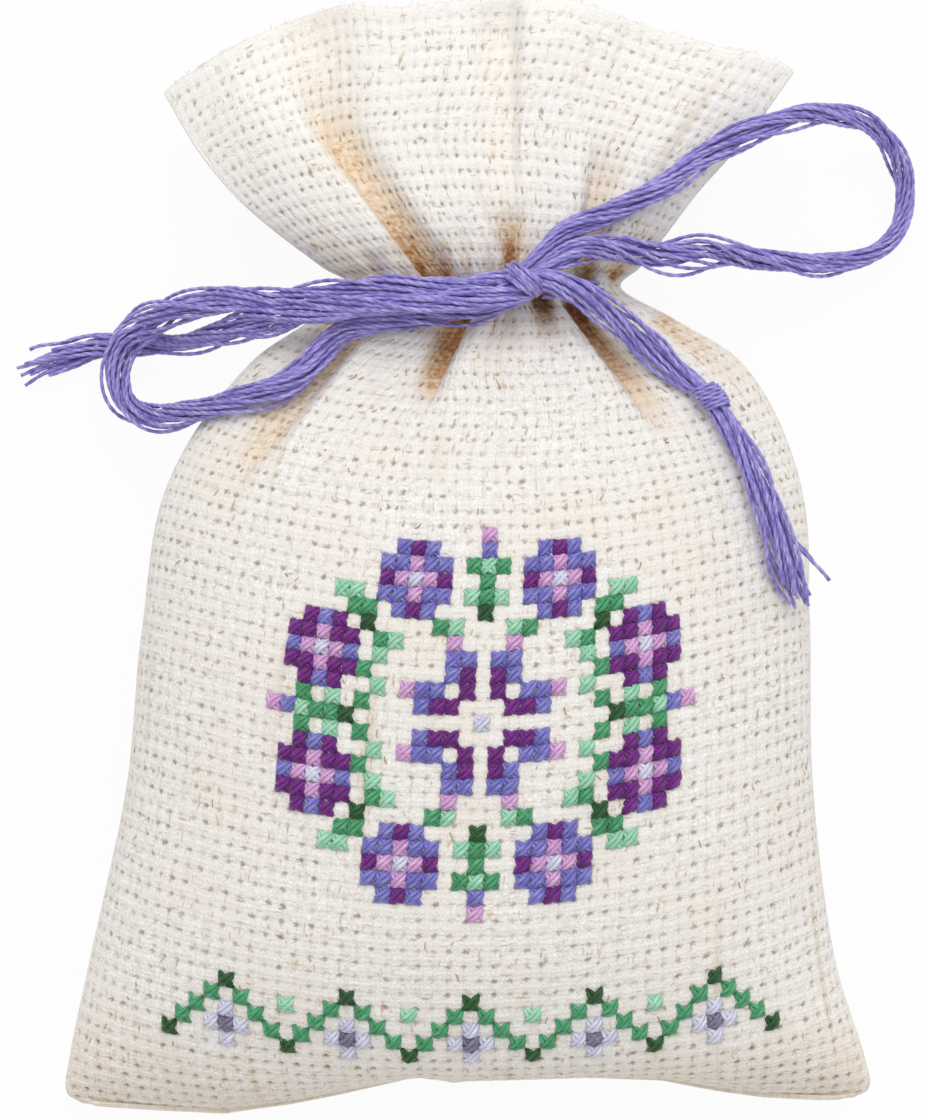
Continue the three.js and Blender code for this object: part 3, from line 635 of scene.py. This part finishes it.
def directions(line, across=None):
    """Unit directions sideways and upwards along a line."""
    heading = np.gradient(line, axis=0)
    heading /= np.linalg.norm(heading, axis=1, keepdims=True)
    if across is None:
        sideways = np.stack([-heading[:, 1], heading[:, 0], np.zeros(len(line))], 1)
    else:
        sideways = np.array(across) - heading * (heading @ np.array(across))[:, None]
    sideways /= np.maximum(np.linalg.norm(sideways, axis=1, keepdims=True), 1e-9)
    return sideways, np.cross(heading, sideways)


def distances(line):
    """How far along a line each of its points lies."""
    return np.concatenate([[0], np.cumsum(np.linalg.norm(np.diff(line, axis=0), axis=1))])


def thread_piece(name, points, faces, tones, lengthwise, rounds, materials):
    """A piece of thread. Its materials are told the tone of each strand and the place along and around it."""
    piece = add_piece(name, np.array(points) * MM, faces)
    for label, values in (("strand", tones), ("lengthwise", lengthwise), ("around", rounds)):
        mark(piece.data, label, values)
    for material in materials:
        piece.data.materials.append(material)
    piece.data.shade_smooth()
    return piece


def strand_piece(name, lines, material, across=None, thickness=STRAND_RADIUS, sides=STRAND_SIDES):
    """A piece of two-ply strands along these lines."""
    verts, faces, lengthwise, tones, rounds = [], [], [], [], []
    turn_share = np.arange(sides) / sides
    around = turn_share * 2 * math.pi - math.pi / 2
    total = 0
    tone_of = np.random.default_rng(11)
    for line in lines:
        sideways, upward = directions(line, across)
        run = distances(line)
        start = tone_of.uniform(0, TWIST_STARTS)
        turn = 2 * math.pi * (run + start)[:, None] / PLY_PITCH
        radius = thickness * (1 + PLY_DEPTH * np.sin(2 * math.pi * PLIES * turn_share[None] - turn))
        ring = (line[:, None] + sideways[:, None] * (np.cos(around) * radius)[..., None]
                + upward[:, None] * (np.sin(around) * radius)[..., None])
        faces += tube_faces(total, len(line), sides)
        verts.append(ring.reshape(-1, 3))
        lengthwise.append(np.repeat(run + start, sides))
        tones.append(np.full(len(line) * sides, tone_of.uniform()))
        rounds.append(np.tile(turn_share, len(line)))
        total += len(line) * sides
    joined = [np.concatenate(values) for values in (tones, lengthwise, rounds)]
    return thread_piece(name, np.concatenate(verts), faces, *joined, [material])


def mercerised_cotton(name, dark, light, sheen):
    """Two plies of combed cotton twisted together, with a silky sheen on the plies and shade between
    them. The strands differ a little in tone, and each changes along its length."""
    material, add = new_material(name)
    strand = add("Attribute", attribute_name="strand")
    lengthwise = add("Attribute", attribute_name="lengthwise")
    around = add("Attribute", attribute_name="around")
    where = add("CombineXYZ", {0: strand.outputs["Fac"], 1: lengthwise.outputs["Fac"]})
    spaced = add("VectorMath", {0: where, 1: (90, 0.5, 0)}, operation="MULTIPLY")
    patch = add("TexNoise", {0: spaced, "Scale": 1, "Detail": 3, "Roughness": 0.65})
    tone = add("MapRange", {0: patch, "From Min": 0.28, "From Max": 0.7})
    dyed = add("Mix", {0: tone, 6: tint(dark), 7: tint(light)}, data_type="RGBA")
    travel = add("Math", {0: lengthwise.outputs["Fac"], 1: 2 * math.pi / PLY_PITCH}, operation="MULTIPLY")
    twist = add("Math", {0: around.outputs["Fac"], 1: 2 * math.pi * PLIES}, operation="MULTIPLY")
    angle = add("Math", {0: twist, 1: travel}, operation="SUBTRACT")
    ply = add("Math", {0: angle}, operation="SINE")
    furrow = add("MapRange", {0: ply, "From Min": -1, "From Max": 0, "To Min": 0.55, "To Max": 0},
                 interpolation_type="SMOOTHSTEP")
    shaded = add("Mix", {0: furrow, 6: dyed, 7: tint(dark)}, data_type="RGBA")
    place = add("TexCoord")
    fibre = add("TexNoise", {0: place.outputs["Object"], "Scale": 9000})
    bump = add("Bump", {"Height": fibre, "Strength": 0.4, "Distance": 0.00005})
    surface = add("BsdfPrincipled", {"Base Color": shaded, "Roughness": 0.5, "Specular IOR Level": 0.4,
                  "Sheen Weight": sheen, "Sheen Roughness": 0.4, "Normal": bump})
    add("OutputMaterial", {"Surface": surface})
    return material


sewing_cotton = mercerised_cotton("sewing_cotton_cream", "cfc7b5", "f0ebdf", sheen=0.1)
left_line = front_grid[SIDE_SEAM, 0] / MM + np.array((SEAM_INSET, 0, 0))
right_line = front_grid[SIDE_SEAM, -1] / MM - np.array((SEAM_INSET, 0, 0))
bottom_line = front_grid[0, BOTTOM_SEAM] / MM + np.array((0, SEAM_INSET, 0))
for name, line in (("left", left_line), ("right", right_line), ("bottom", bottom_line)):
    stitching = strand_piece(name + "_seam_stitching", [line], sewing_cotton)
    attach(stitching, "bag")
    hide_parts(name + "_seam_thread")

# Cross stitch on the front, worked over one block with two strands before the bag was sewn up: a wreath of
# florets round an eight-pointed star, and a zigzag border with small blossoms above the bottom seam.
WREATH_COLUMN, WREATH_ROW = 28, 30
BORDER_ROW = 8
BORDER_HALF = 20
BORDER_RISE = 4
THREAD_COLOURS = {
    "plum": ("561068", "8a2a98"), "violet": ("5f5cb4", "9c98dc"), "pink": ("c58ac6", "ebc3e8"),
    "pine": ("163d1a", "2f6a33"), "leaf": ("2f8452", "62b986"), "mint": ("84c8a2", "bdecd2"),
    "slate": ("66617a", "9a95ac"), "pearl": ("c2c2de", "f0f0fb"),
}
BLOSSOM = ((0, 1, "slate"), (1, 1, "pearl"), (-1, 1, "pearl"), (0, 2, "pearl"), (0, 0, "pearl"))
LEG_HALF_WIDTH = 0.22
LEG_HALF_HEIGHT = 0.13
LEG_CORNERS = 4
LEG_LENGTH = 1.9
LEG_PUFFS = (0.85, 1.15)
LEG_END_SIZE = 0.7
LEG_END_OFFSET = 0.4
STRAND_OFFSET = 0.2
NEEDLE_SLIP = 0.07
stitches = {}


def four_ways(column, row, thread):
    """A stitch and its mirror images in the wreath."""
    for across in (column, -column):
        for up in (row, -row):
            stitches[WREATH_COLUMN + across, WREATH_ROW + up] = thread


def floret(column, row, petal, edge):
    """A flower of the wreath and its mirror images, with a pale eye and a pink ring round it."""
    for across in range(-2, 3):
        for up in range(-2, 3):
            ring = abs(across) + abs(up)
            if ring < 4:
                point = ring == 2 and across * up == 0
                thread = "pearl" if ring == 0 else "pink" if ring == 1 else petal if point else edge
                four_ways(column + across, row + up, thread)


floret(11, 4, "violet", "plum")
floret(5, 9, "plum", "violet")
four_ways(0, 0, "pearl")
for near, far, thread in (
        (1, 2, "plum"), (1, 3, "plum"), (2, 3, "violet"), (1, 4, "violet"), (2, 4, "violet"), (2, 5, "pink")):
    four_ways(near, far, thread)
    four_ways(far, near, thread)
for step, thread in enumerate(("pine", "leaf", "leaf", "mint")):
    four_ways(9 + step, 0, thread)
    four_ways(0, 7 + step, thread)
for column, row, thread in (
        (13, 0, "violet"), (14, 0, "pink"), (10, 1, "mint"), (12, 1, "leaf"), (0, 11, "violet"),
        (0, 12, "pink"), (1, 8, "mint"), (1, 10, "leaf"), (8, 6, "pine"), (8, 7, "leaf"), (9, 7, "leaf"),
        (9, 8, "mint"), (10, 8, "mint"), (7, 5, "leaf"), (6, 5, "mint"), (7, 4, "mint"), (8, 3, "leaf"),
        (7, 2, "mint"), (8, 1, "leaf"), (3, 6, "leaf"), (2, 6, "mint")):
    four_ways(column, row, thread)
for across in range(-BORDER_HALF, BORDER_HALF + 1):
    climb = abs(across % (2 * BORDER_RISE) - BORDER_RISE)
    stitches[WREATH_COLUMN + across, BORDER_ROW + climb] = "pine" if climb in (0, BORDER_RISE) else "leaf"
    if climb == BORDER_RISE:
        for beside, up, thread in BLOSSOM:
            stitches[WREATH_COLUMN + across + beside, BORDER_ROW + up] = thread
    if climb == 0 and abs(across) < BORDER_HALF:
        stitches[WREATH_COLUMN + across, BORDER_ROW + 3] = "mint"

# The legs of a stitch, each a share of the way across and a height over the cloth in millimetres.
under_leg = ((0, -0.25), (0.25, 0.2), (0.75, 0.2), (1, -0.25))
over_leg = ((0, -0.25), (0.22, 0.24), (0.5, 0.44), (0.78, 0.24), (1, -0.25))
block_corners = front_grid[::BLOCK_STEPS, ::BLOCK_STEPS] / MM
hand = np.random.default_rng(17)
verts, faces, colour_of, tones, lengthwise, rounds = [], [], [], [], [], []
for (column, row), thread in sorted(stitches.items()):
    low_left, low_right = block_corners[row, column], block_corners[row, column + 1]
    up_left, up_right = block_corners[row + 1, column], block_corners[row + 1, column + 1]
    normal = np.cross(up_right - low_left, up_left - low_right)
    normal /= np.linalg.norm(normal)
    for start, end, arch in ((up_left, low_right, under_leg), (low_left, up_right, over_leg)):
        start, end = (point + hand.uniform(-NEEDLE_SLIP, NEEDLE_SLIP, 3) for point in (start, end))
        heading = (end - start) / np.linalg.norm(end - start)
        sideways = np.cross(normal, heading)
        puff = hand.uniform(*LEG_PUFFS)
        for strand in (-1, 1):
            first = len(verts)
            tone, shift = hand.uniform(), hand.uniform(0, TWIST_STARTS)
            for t, lift in arch:
                full, apart = (LEG_END_SIZE, LEG_END_OFFSET) if lift < 0 else (1, 1)
                middle = (start + (end - start) * t + normal * lift * puff
                          + sideways * strand * STRAND_OFFSET * apart)
                for corner in range(LEG_CORNERS):
                    angle = (corner / LEG_CORNERS - 0.25) * 2 * math.pi
                    verts.append(middle + sideways * math.cos(angle) * LEG_HALF_WIDTH * full
                                 + normal * math.sin(angle) * LEG_HALF_HEIGHT * full)
                    rounds.append(corner / LEG_CORNERS)
                    tones.append(tone)
                    lengthwise.append(shift + t * LEG_LENGTH)
            leg = tube_faces(first, len(arch), LEG_CORNERS)
            faces += leg
            colour_of += [list(THREAD_COLOURS).index(thread)] * len(leg)
thread_cottons = [mercerised_cotton("stranded_cotton_" + thread, dark, light, sheen=0.2)
                  for thread, (dark, light) in THREAD_COLOURS.items()]
cross_stitch = thread_piece("front_cross_stitch", verts, faces, tones, lengthwise, rounds, thread_cottons)
cross_stitch.data.polygons.foreach_set("material_index", colour_of)
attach(cross_stitch, "bag")

# Loose fibres: bits of straw-coloured flax that the yarn was spun with, lying on the front, and pale fuzz
# along the mouth.
STRAW_COUNT = 280
FUZZ_COUNT = 420
STRAW_RADIUS = 0.055
STRAW_LIFT = 0.1
STRAW_ARCH = 0.9
FUZZ_RADIUS = 0.03
FIBRE_POINTS = 5
FIBRE_SIDES = 3
fibre_chance = np.random.default_rng(23)


def on_front(column, row):
    """Points on the front in millimetres, at these columns and rows of the weave."""
    column, row = column * BLOCK_STEPS, row * BLOCK_STEPS
    left = np.clip(column.astype(int), 0, front_grid.shape[1] - 2)
    low = np.clip(row.astype(int), 0, front_grid.shape[0] - 2)
    part, up = (column - left)[:, None], (row - low)[:, None]
    near = front_grid[low, left] * (1 - part) + front_grid[low, left + 1] * part
    far = front_grid[low + 1, left] * (1 - part) + front_grid[low + 1, left + 1] * part
    return (near * (1 - up) + far * up) / MM


def flax(name, dark, light):
    """Flax as it was retted: dry and matt, each fibre of its own tone."""
    material, add = new_material(name)
    fibre = add("Attribute", attribute_name="strand")
    tone = add("Mix", {0: fibre.outputs["Fac"], 6: tint(dark), 7: tint(light)}, data_type="RGBA")
    surface = add("BsdfPrincipled", {"Base Color": tone, "Roughness": 0.8})
    add("OutputMaterial", {"Surface": surface})
    return material


t = np.linspace(-0.5, 0.5, FIBRE_POINTS)
straw_lines = []
for _ in range(STRAW_COUNT):
    column, row = fibre_chance.uniform(2, WEAVE_COLUMNS - 2), fibre_chance.uniform(3, WEAVE_ROWS - 2)
    angle = math.pi / 2 + fibre_chance.normal(0, 0.5)
    length, bend = fibre_chance.uniform(0.2, 0.75), fibre_chance.uniform(-0.3, 0.3)
    turn = angle + bend * t * 2
    line = on_front(column + length * t * np.cos(turn), row + length * t * np.sin(turn))
    line[:, 2] += STRAW_LIFT - STRAW_ARCH * t ** 2
    straw_lines.append(line)
fuzz_lines = []
for _ in range(FUZZ_COUNT):
    column, row = fibre_chance.uniform(1, WEAVE_COLUMNS - 1), WEAVE_ROWS - fibre_chance.uniform(0, 0.4)
    root = on_front(np.array([column]), np.array([row]))[0]
    angle = math.pi / 2 + fibre_chance.normal(0, 0.7)
    length, bend = fibre_chance.uniform(0.2, 0.6), fibre_chance.uniform(-1, 1)
    along = t + 0.5
    turn = angle + bend * along
    sink = np.full(FIBRE_POINTS, fibre_chance.uniform(-1, 0))
    away = np.stack([np.cos(turn) * length * along, np.sin(turn) * length * along, sink], 1)
    fuzz_lines.append(root + away)
for name, lines, material, radius in (
        ("straw_in_the_cloth", straw_lines, flax("straw_coloured_flax", "b8915f", "e6d3b1"), STRAW_RADIUS),
        ("fuzz_of_the_mouth", fuzz_lines, flax("bleached_flax", "e3d8c8", "faf6ef"), FUZZ_RADIUS)):
    fibres = strand_piece(name, lines, material, thickness=radius, sides=FIBRE_SIDES)
    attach(fibres, "bag")

# The bow: stranded embroidery cotton, skeins laid together and hardly twisted. It is wound round the neck,
# tied in a bow on the front, and left to lie over the shoulders of the bag and on the table.
FLOSS_WIDTH = 2.6
FLOSS_RADIUS = 0.18
STRAND_STEP = 0.28
SPAN_POINTS = 30
RAY_HEIGHT = 60
ON_CLOTH = 1.1
ON_TABLE = 1.2
SUPPORT_REACH = 2
LIFT_REACH = 4
LIFT_LEAST = 0.6
GOLDEN_TURN = 2.4
TURN_SLIP = 0.3
SWAY = 0.25
SWAY_LENGTHS = (12, 28)
WAVE_LENGTHS = (9, 22)
WAVE_STARTS = 6
TALLEST = 1.3
SPLAY_FROM = 1.4
SPLAY_SHARE = 0.5
CUT_STEPS = 6

front_surface = BVHTree.FromPolygons([v.co[:] for v in front_cloth.data.vertices],
                                     [p.vertices[:] for p in front_cloth.data.polygons])
violet_cotton = mercerised_cotton("mercerised_cotton_violet", "6657b4", "c1b7ef", sheen=0.3)


def floss_piece(name, lines, across=None):
    """A piece of the violet floss, strand by strand."""
    return strand_piece(name, lines, violet_cotton, across, FLOSS_RADIUS)


def smooth_route(places, step):
    """Points a step apart on a smooth curve through these places, in millimetres."""
    p = np.array(places, float)
    p = np.concatenate([[2 * p[0] - p[1]], p, [2 * p[-1] - p[-2]]])
    t = np.linspace(0, 1, SPAN_POINTS, endpoint=False)[:, None]
    spans = [b + 0.5 * ((c - a) * t + (2 * a - 5 * b + 4 * c - d) * t ** 2 + (3 * b - a - 3 * c + d) * t ** 3)
             for a, b, c, d in zip(p, p[1:], p[2:], p[3:])]
    line = np.concatenate([*spans, p[-2:-1]])
    run = distances(line)
    at = np.linspace(0, run[-1], int(run[-1] / step) + 2)
    return np.stack([np.interp(at, run, line[:, k]) for k in range(3)], 1), at


def soften(values, reach):
    """Running mean over a number of neighbours on both sides."""
    padded = np.pad(values, reach, mode="edge")
    return np.convolve(padded, np.ones(2 * reach + 1) / (2 * reach + 1), mode="valid")


def lay_down(line):
    """Lifts a strand to where it lies on the cloth or on the table."""
    support = np.zeros(len(line))
    for i, (x, y) in enumerate(line[:, :2]):
        hit = front_surface.ray_cast(Vector((x * MM, y * MM, RAY_HEIGHT * MM)), Vector((0, 0, -1)))[0]
        support[i] = 0 if hit is None else hit.z / MM
    padded = np.pad(support, SUPPORT_REACH, mode="edge")
    nearby = np.lib.stride_tricks.sliding_window_view(padded, 2 * SUPPORT_REACH + 1)
    lift = np.maximum(nearby.max(1) + FLOSS_RADIUS * ON_CLOTH - line[:, 2], 0)
    lifted = line[:, 2] + np.maximum(soften(lift, LIFT_REACH), lift * LIFT_LEAST)
    line[:, 2] = np.maximum(lifted, FLOSS_RADIUS * ON_TABLE)
    return line


def floss_lines(route, count, seed, width=FLOSS_WIDTH, depth=1.8, twist=0.03, spread=((0, 1), (1, 1)),
                loose=(), uneven=0, across=None, lie=True, wander=0.16):
    """Strands side by side along a route: spread widens the bundle along the way, a loose strand bulges
    out of it, and uneven is the share of the length by which the cut ends differ."""
    centre, run = smooth_route(route, STRAND_STEP)
    share = run / run[-1]
    sideways, upward = directions(centre, across)
    widen = np.interp(share, *np.transpose(spread))
    chance = np.random.default_rng(seed)
    lines = []
    for k in range(count):
        reach = math.sqrt((k + 0.5) / count)
        turn = k * GOLDEN_TURN + 2 * math.pi * twist * run + chance.uniform(-TURN_SLIP, TURN_SLIP)
        sway = np.sin(2 * math.pi * run / chance.uniform(*SWAY_LENGTHS) + chance.uniform(0, WAVE_STARTS))
        reach = reach * (1 + SWAY * sway)
        drift = chance.uniform(-1, 1, 2)[0]
        wave = np.sin(2 * math.pi * run / chance.uniform(*WAVE_LENGTHS) + chance.uniform(0, WAVE_STARTS))
        to_side = (width / 2 - FLOSS_RADIUS) * reach * np.cos(turn) * widen + wander * wave
        to_top = (depth / 2 - FLOSS_RADIUS) * reach * np.sin(turn) * np.minimum(widen, TALLEST)
        for strand, middle, half, bulge in loose:
            if strand == k:
                to_side = to_side + bulge * np.exp(-((share - middle) / half) ** 2)
        to_side = to_side + drift * np.maximum(widen - SPLAY_FROM, 0) * SPLAY_SHARE
        line = centre + sideways * to_side[:, None] + upward * to_top[:, None]
        line = line[:len(line) - int(len(line) * uneven * (k % (CUT_STEPS + 1)) / CUT_STEPS)]
        lines.append(lay_down(line) if lie else line)
    middle = np.full((count, len(centre), 3), np.nan)
    for k, line in enumerate(lines):
        middle[k, :len(line)] = line
    return lines, np.nanmean(middle, axis=0)[:len(centre) - int(len(centre) * uneven / 2)] * MM


def declare_floss(piece, nodes):
    """A cord with its placement baked into its points, and the parts of model.glb that it replaces hidden."""
    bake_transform(piece)
    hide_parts(*nodes)


# Left loop: from the knot out over the left shoulder, down towards the table and back under the band. It
# flattens where it turns, and three of its strands stand out there.
left_loop_route = [
    (5.7, 25.3, 17.3), (1.8, 24.9, 18.5), (-1.8, 24.5, 18.5), (-7.7, 24.5, 17.8), (-12.4, 24, 16.6),
    (-17.1, 23.4, 14.6), (-20.7, 23.6, 12.6), (-23.6, 23.6, 10.8), (-27.2, 22.9, 8.6), (-30.2, 21.4, 6.4),
    (-32.1, 20, 5.2), (-32.8, 17.8, 4.6), (-32.5, 15.4, 4.8), (-31.3, 13.8, 6), (-28.9, 12.9, 8.6),
    (-25.6, 13.1, 12), (-22.4, 13.9, 14.6), (-19.4, 14.7, 16), (-16.8, 15.7, 16.4), (-14.9, 17, 16.2),
    (-13.5, 18.7, 15.7), (-12.4, 20, 15.4), (-10.7, 21, 15.5), (-6.3, 21.8, 16), (-0.8, 22.4, 16),
    (1.8, 22.8, 16.2), (5.7, 24.2, 16.7),
]
lines, centre = floss_lines(
    left_loop_route, count=20, seed=3,
    spread=((0, 0.7), (0.1, 0.9), (0.3, 0.9), (0.42, 1.35), (0.55, 1), (0.9, 1), (1, 0.7)),
    loose=((14, 0.33, 0.05, 0.9), (12, 0.43, 0.06, -0.8), (10, 0.5, 0.07, 0.7)))
left_loop = floss_piece("left_loop_floss", lines)
declare_floss(left_loop, ["left_loop"])

# Left end: it lies along the band, dips under the loop and comes down to the table, where its cut strands
# are of uneven length and one stands off.
left_end_route = [
    (5.7, 24.5, 18.1), (1.8, 23.4, 19.5), (-4.3, 22.9, 19.7), (-10.3, 22.6, 18.6), (-15.8, 22.2, 15.8),
    (-19.6, 21.6, 12.8), (-23, 20.5, 9.6), (-26.6, 19.7, 6.2), (-30.8, 19.7, 2.2), (-34.9, 19.6, 1.2),
    (-37.3, 18.8, 1), (-39.9, 17.8, 0.8), (-42, 16.9, 0.6),
]
lines, centre = floss_lines(
    left_end_route, count=20, seed=5, uneven=0.1, loose=((16, 0.97, 0.05, -1.3),),
    spread=((0, 0.7), (0.1, 0.9), (0.3, 0.9), (0.5, 1.15), (0.7, 0.8), (0.85, 0.9), (1, 1.3)))
left_end = floss_piece("left_end_floss", lines)
declare_floss(left_end, ["left_tail", "left_fringe"])

# Right loop: its lower run goes out to the right and down to the table, and it comes back across the frill.
# Over the shoulder a few strands have come loose and stand apart.
right_loop_route = [
    (4.5, 24.5, 17.2), (8, 26.9, 18.2), (10.6, 28, 17.4), (14.3, 28.1, 14.8), (18, 27.9, 13.8),
    (21.2, 28.1, 12.8), (23.9, 27.9, 10.6), (27.6, 27.5, 7.4), (31.8, 27.1, 4.8), (35.4, 27.4, 3.2),
    (38.3, 28.4, 2.4), (40.1, 30.2, 1.9), (41, 32.9, 1.8), (40.8, 35.8, 2.2), (39, 38.8, 4.6),
    (36, 40.5, 7.4), (31.8, 40.9, 10.4), (27.6, 39.7, 12.8), (23.3, 37.7, 13.2), (18.6, 34.5, 14),
    (14.3, 32, 14.1), (10.6, 30.5, 14.8), (8, 28.9, 16), (4.6, 25.4, 16.6),
]
lines, centre = floss_lines(
    right_loop_route, count=19, seed=8, width=2.4,
    spread=((0, 0.7), (0.06, 0.95), (0.13, 1.15), (0.2, 0.95), (0.27, 0.95), (0.45, 0.85), (0.8, 1),
            (0.95, 0.9), (1, 0.7)),
    loose=((14, 0.2, 0.045, 0.7), (12, 0.21, 0.03, 0.5), (13, 0.19, 0.05, -1.3), (10, 0.2, 0.045, -1),
           (11, 0.74, 0.05, -0.6)))
right_loop = floss_piece("right_loop_floss", lines)
declare_floss(right_loop, ["right_loop"])

# Right end: down over the right shoulder to an overhand knot, and a tassel of cut strands below it. The
# knot draws the strands together, and the tassel opens towards its end.
right_end_route = [
    (4.6, 25.2, 17.7), (7.6, 25.3, 18.8), (10.2, 24.2, 18.9), (12.6, 22.4, 18.3), (14.3, 21, 17.6),
    (15.7, 19.7, 17), (17.9, 17.8, 16.8), (19.6, 16.5, 17.1), (21, 15.5, 17.4), (22.2, 14.2, 17.8),
    (23.3, 12.8, 18.1), (24.3, 11.2, 18.5), (25.5, 8.7, 19.1), (27, 5, 19.3), (28.4, 1.4, 19.1),
    (29.8, -2.3, 17.8), (30.8, -4.6, 17),
]
lines, centre = floss_lines(
    right_end_route, count=19, seed=12, width=2.8, uneven=0.08, twist=0.02, wander=0.1,
    loose=((13, 0.92, 0.12, 1.7), (16, 1, 0.1, 1.2)),
    spread=((0, 0.7), (0.12, 1), (0.35, 1), (0.44, 0.8), (0.49, 0.6), (0.54, 0.75), (0.7, 1), (1, 1.35)))
right_end = floss_piece("right_end_floss", lines)

# Overhand knot of the right end: the floss drawn tight round itself, turn beside turn. It lies on the right
# shoulder of the bag.
TURN_POINTS = 28
END_FULLNESS = 0.72


def wound_line(middle, axis, length, width, height, turns, lean):
    """A strand wound round a bundle: a helix along the axis, fuller in its middle, leaning over."""
    axis = np.array(axis, float) / np.linalg.norm(axis)
    beside = np.cross((0, 0, 1), axis)
    t = np.linspace(0, 1, int(turns * TURN_POINTS))
    angle = 2 * math.pi * turns * t
    full = mixed((END_FULLNESS, 1), np.sqrt(np.clip(1 - (2 * t - 1) ** 2, 0, 1)))
    along = (t - 0.5) * length + lean * np.cos(angle)
    return (np.array(middle) + axis * along[:, None]
            + beside * (width / 2 * full * np.cos(angle))[:, None]
            + np.array((0, 0, 1)) * (height / 2 * full * np.sin(angle))[:, None])


end_axis = (1.6, -2.2, 0)
winding = wound_line((22.3, 14.5, 17.8), end_axis, length=2.5, width=2.3, height=2.3, turns=7, lean=0.35)
end_knot = floss_piece("right_end_knot_floss", [winding], np.array(end_axis) / np.linalg.norm(end_axis))
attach(end_knot, "right_end")
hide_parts("right_end_knot")
declare_floss(right_end, ["right_tail", "right_fringe"])

# Knot of the bow: one pass of the floss slants over the crossing of the loops and is drawn tight. Its two
# legs go down into the gathers of the neck.
KNOT_SLANT = (0.6, 0.8, 0)
knot_route = [
    (3.7, 25.4, 12), (3.5, 25.8, 14.8), (3.6, 26, 17.4), (4.2, 25.8, 19.1), (5.1, 25.2, 19.9),
    (6, 24.6, 19.5), (6.5, 24.3, 17.6), (6.4, 24.4, 14.5), (6.2, 24.5, 12),
]
lines, centre = floss_lines(
    knot_route, count=13, seed=19, width=2.2, depth=1, across=KNOT_SLANT, lie=False, wander=0.08)
bow_knot = floss_piece("bow_knot_floss", lines, KNOT_SLANT)
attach(bow_knot, "bag")
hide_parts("bow_knot")

# Neck tie: the same floss drawn so tight round the gathers that they close over it at the sides. It goes
# once round, and its ends meet under the knot.
TIE_MIDDLE = (1.7, 24.7, 10)
TIE_HALF_WIDTH = 11.2
TIE_FRONT = 3.4
TIE_BACK = 4.4
TIE_ENDS = (0.35 * math.pi, -1.62 * math.pi)
TIE_POINTS = 60
UP_THE_BAG = (0, 1, 0)
tie_route = []
for angle in np.linspace(*TIE_ENDS, TIE_POINTS):
    across = TIE_HALF_WIDTH * math.cos(angle)
    up = math.sin(angle) * (TIE_FRONT if math.sin(angle) > 0 else TIE_BACK)
    tie_route.append(np.array(TIE_MIDDLE) + (across, 0, up))
lines, centre = floss_lines(
    tie_route, count=10, seed=21, width=1.9, depth=1.1, across=UP_THE_BAG, lie=False, wander=0.1)
neck_tie = floss_piece("neck_tie_floss", lines, UP_THE_BAG)
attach(neck_tie, "bag")
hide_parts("neck_tie")
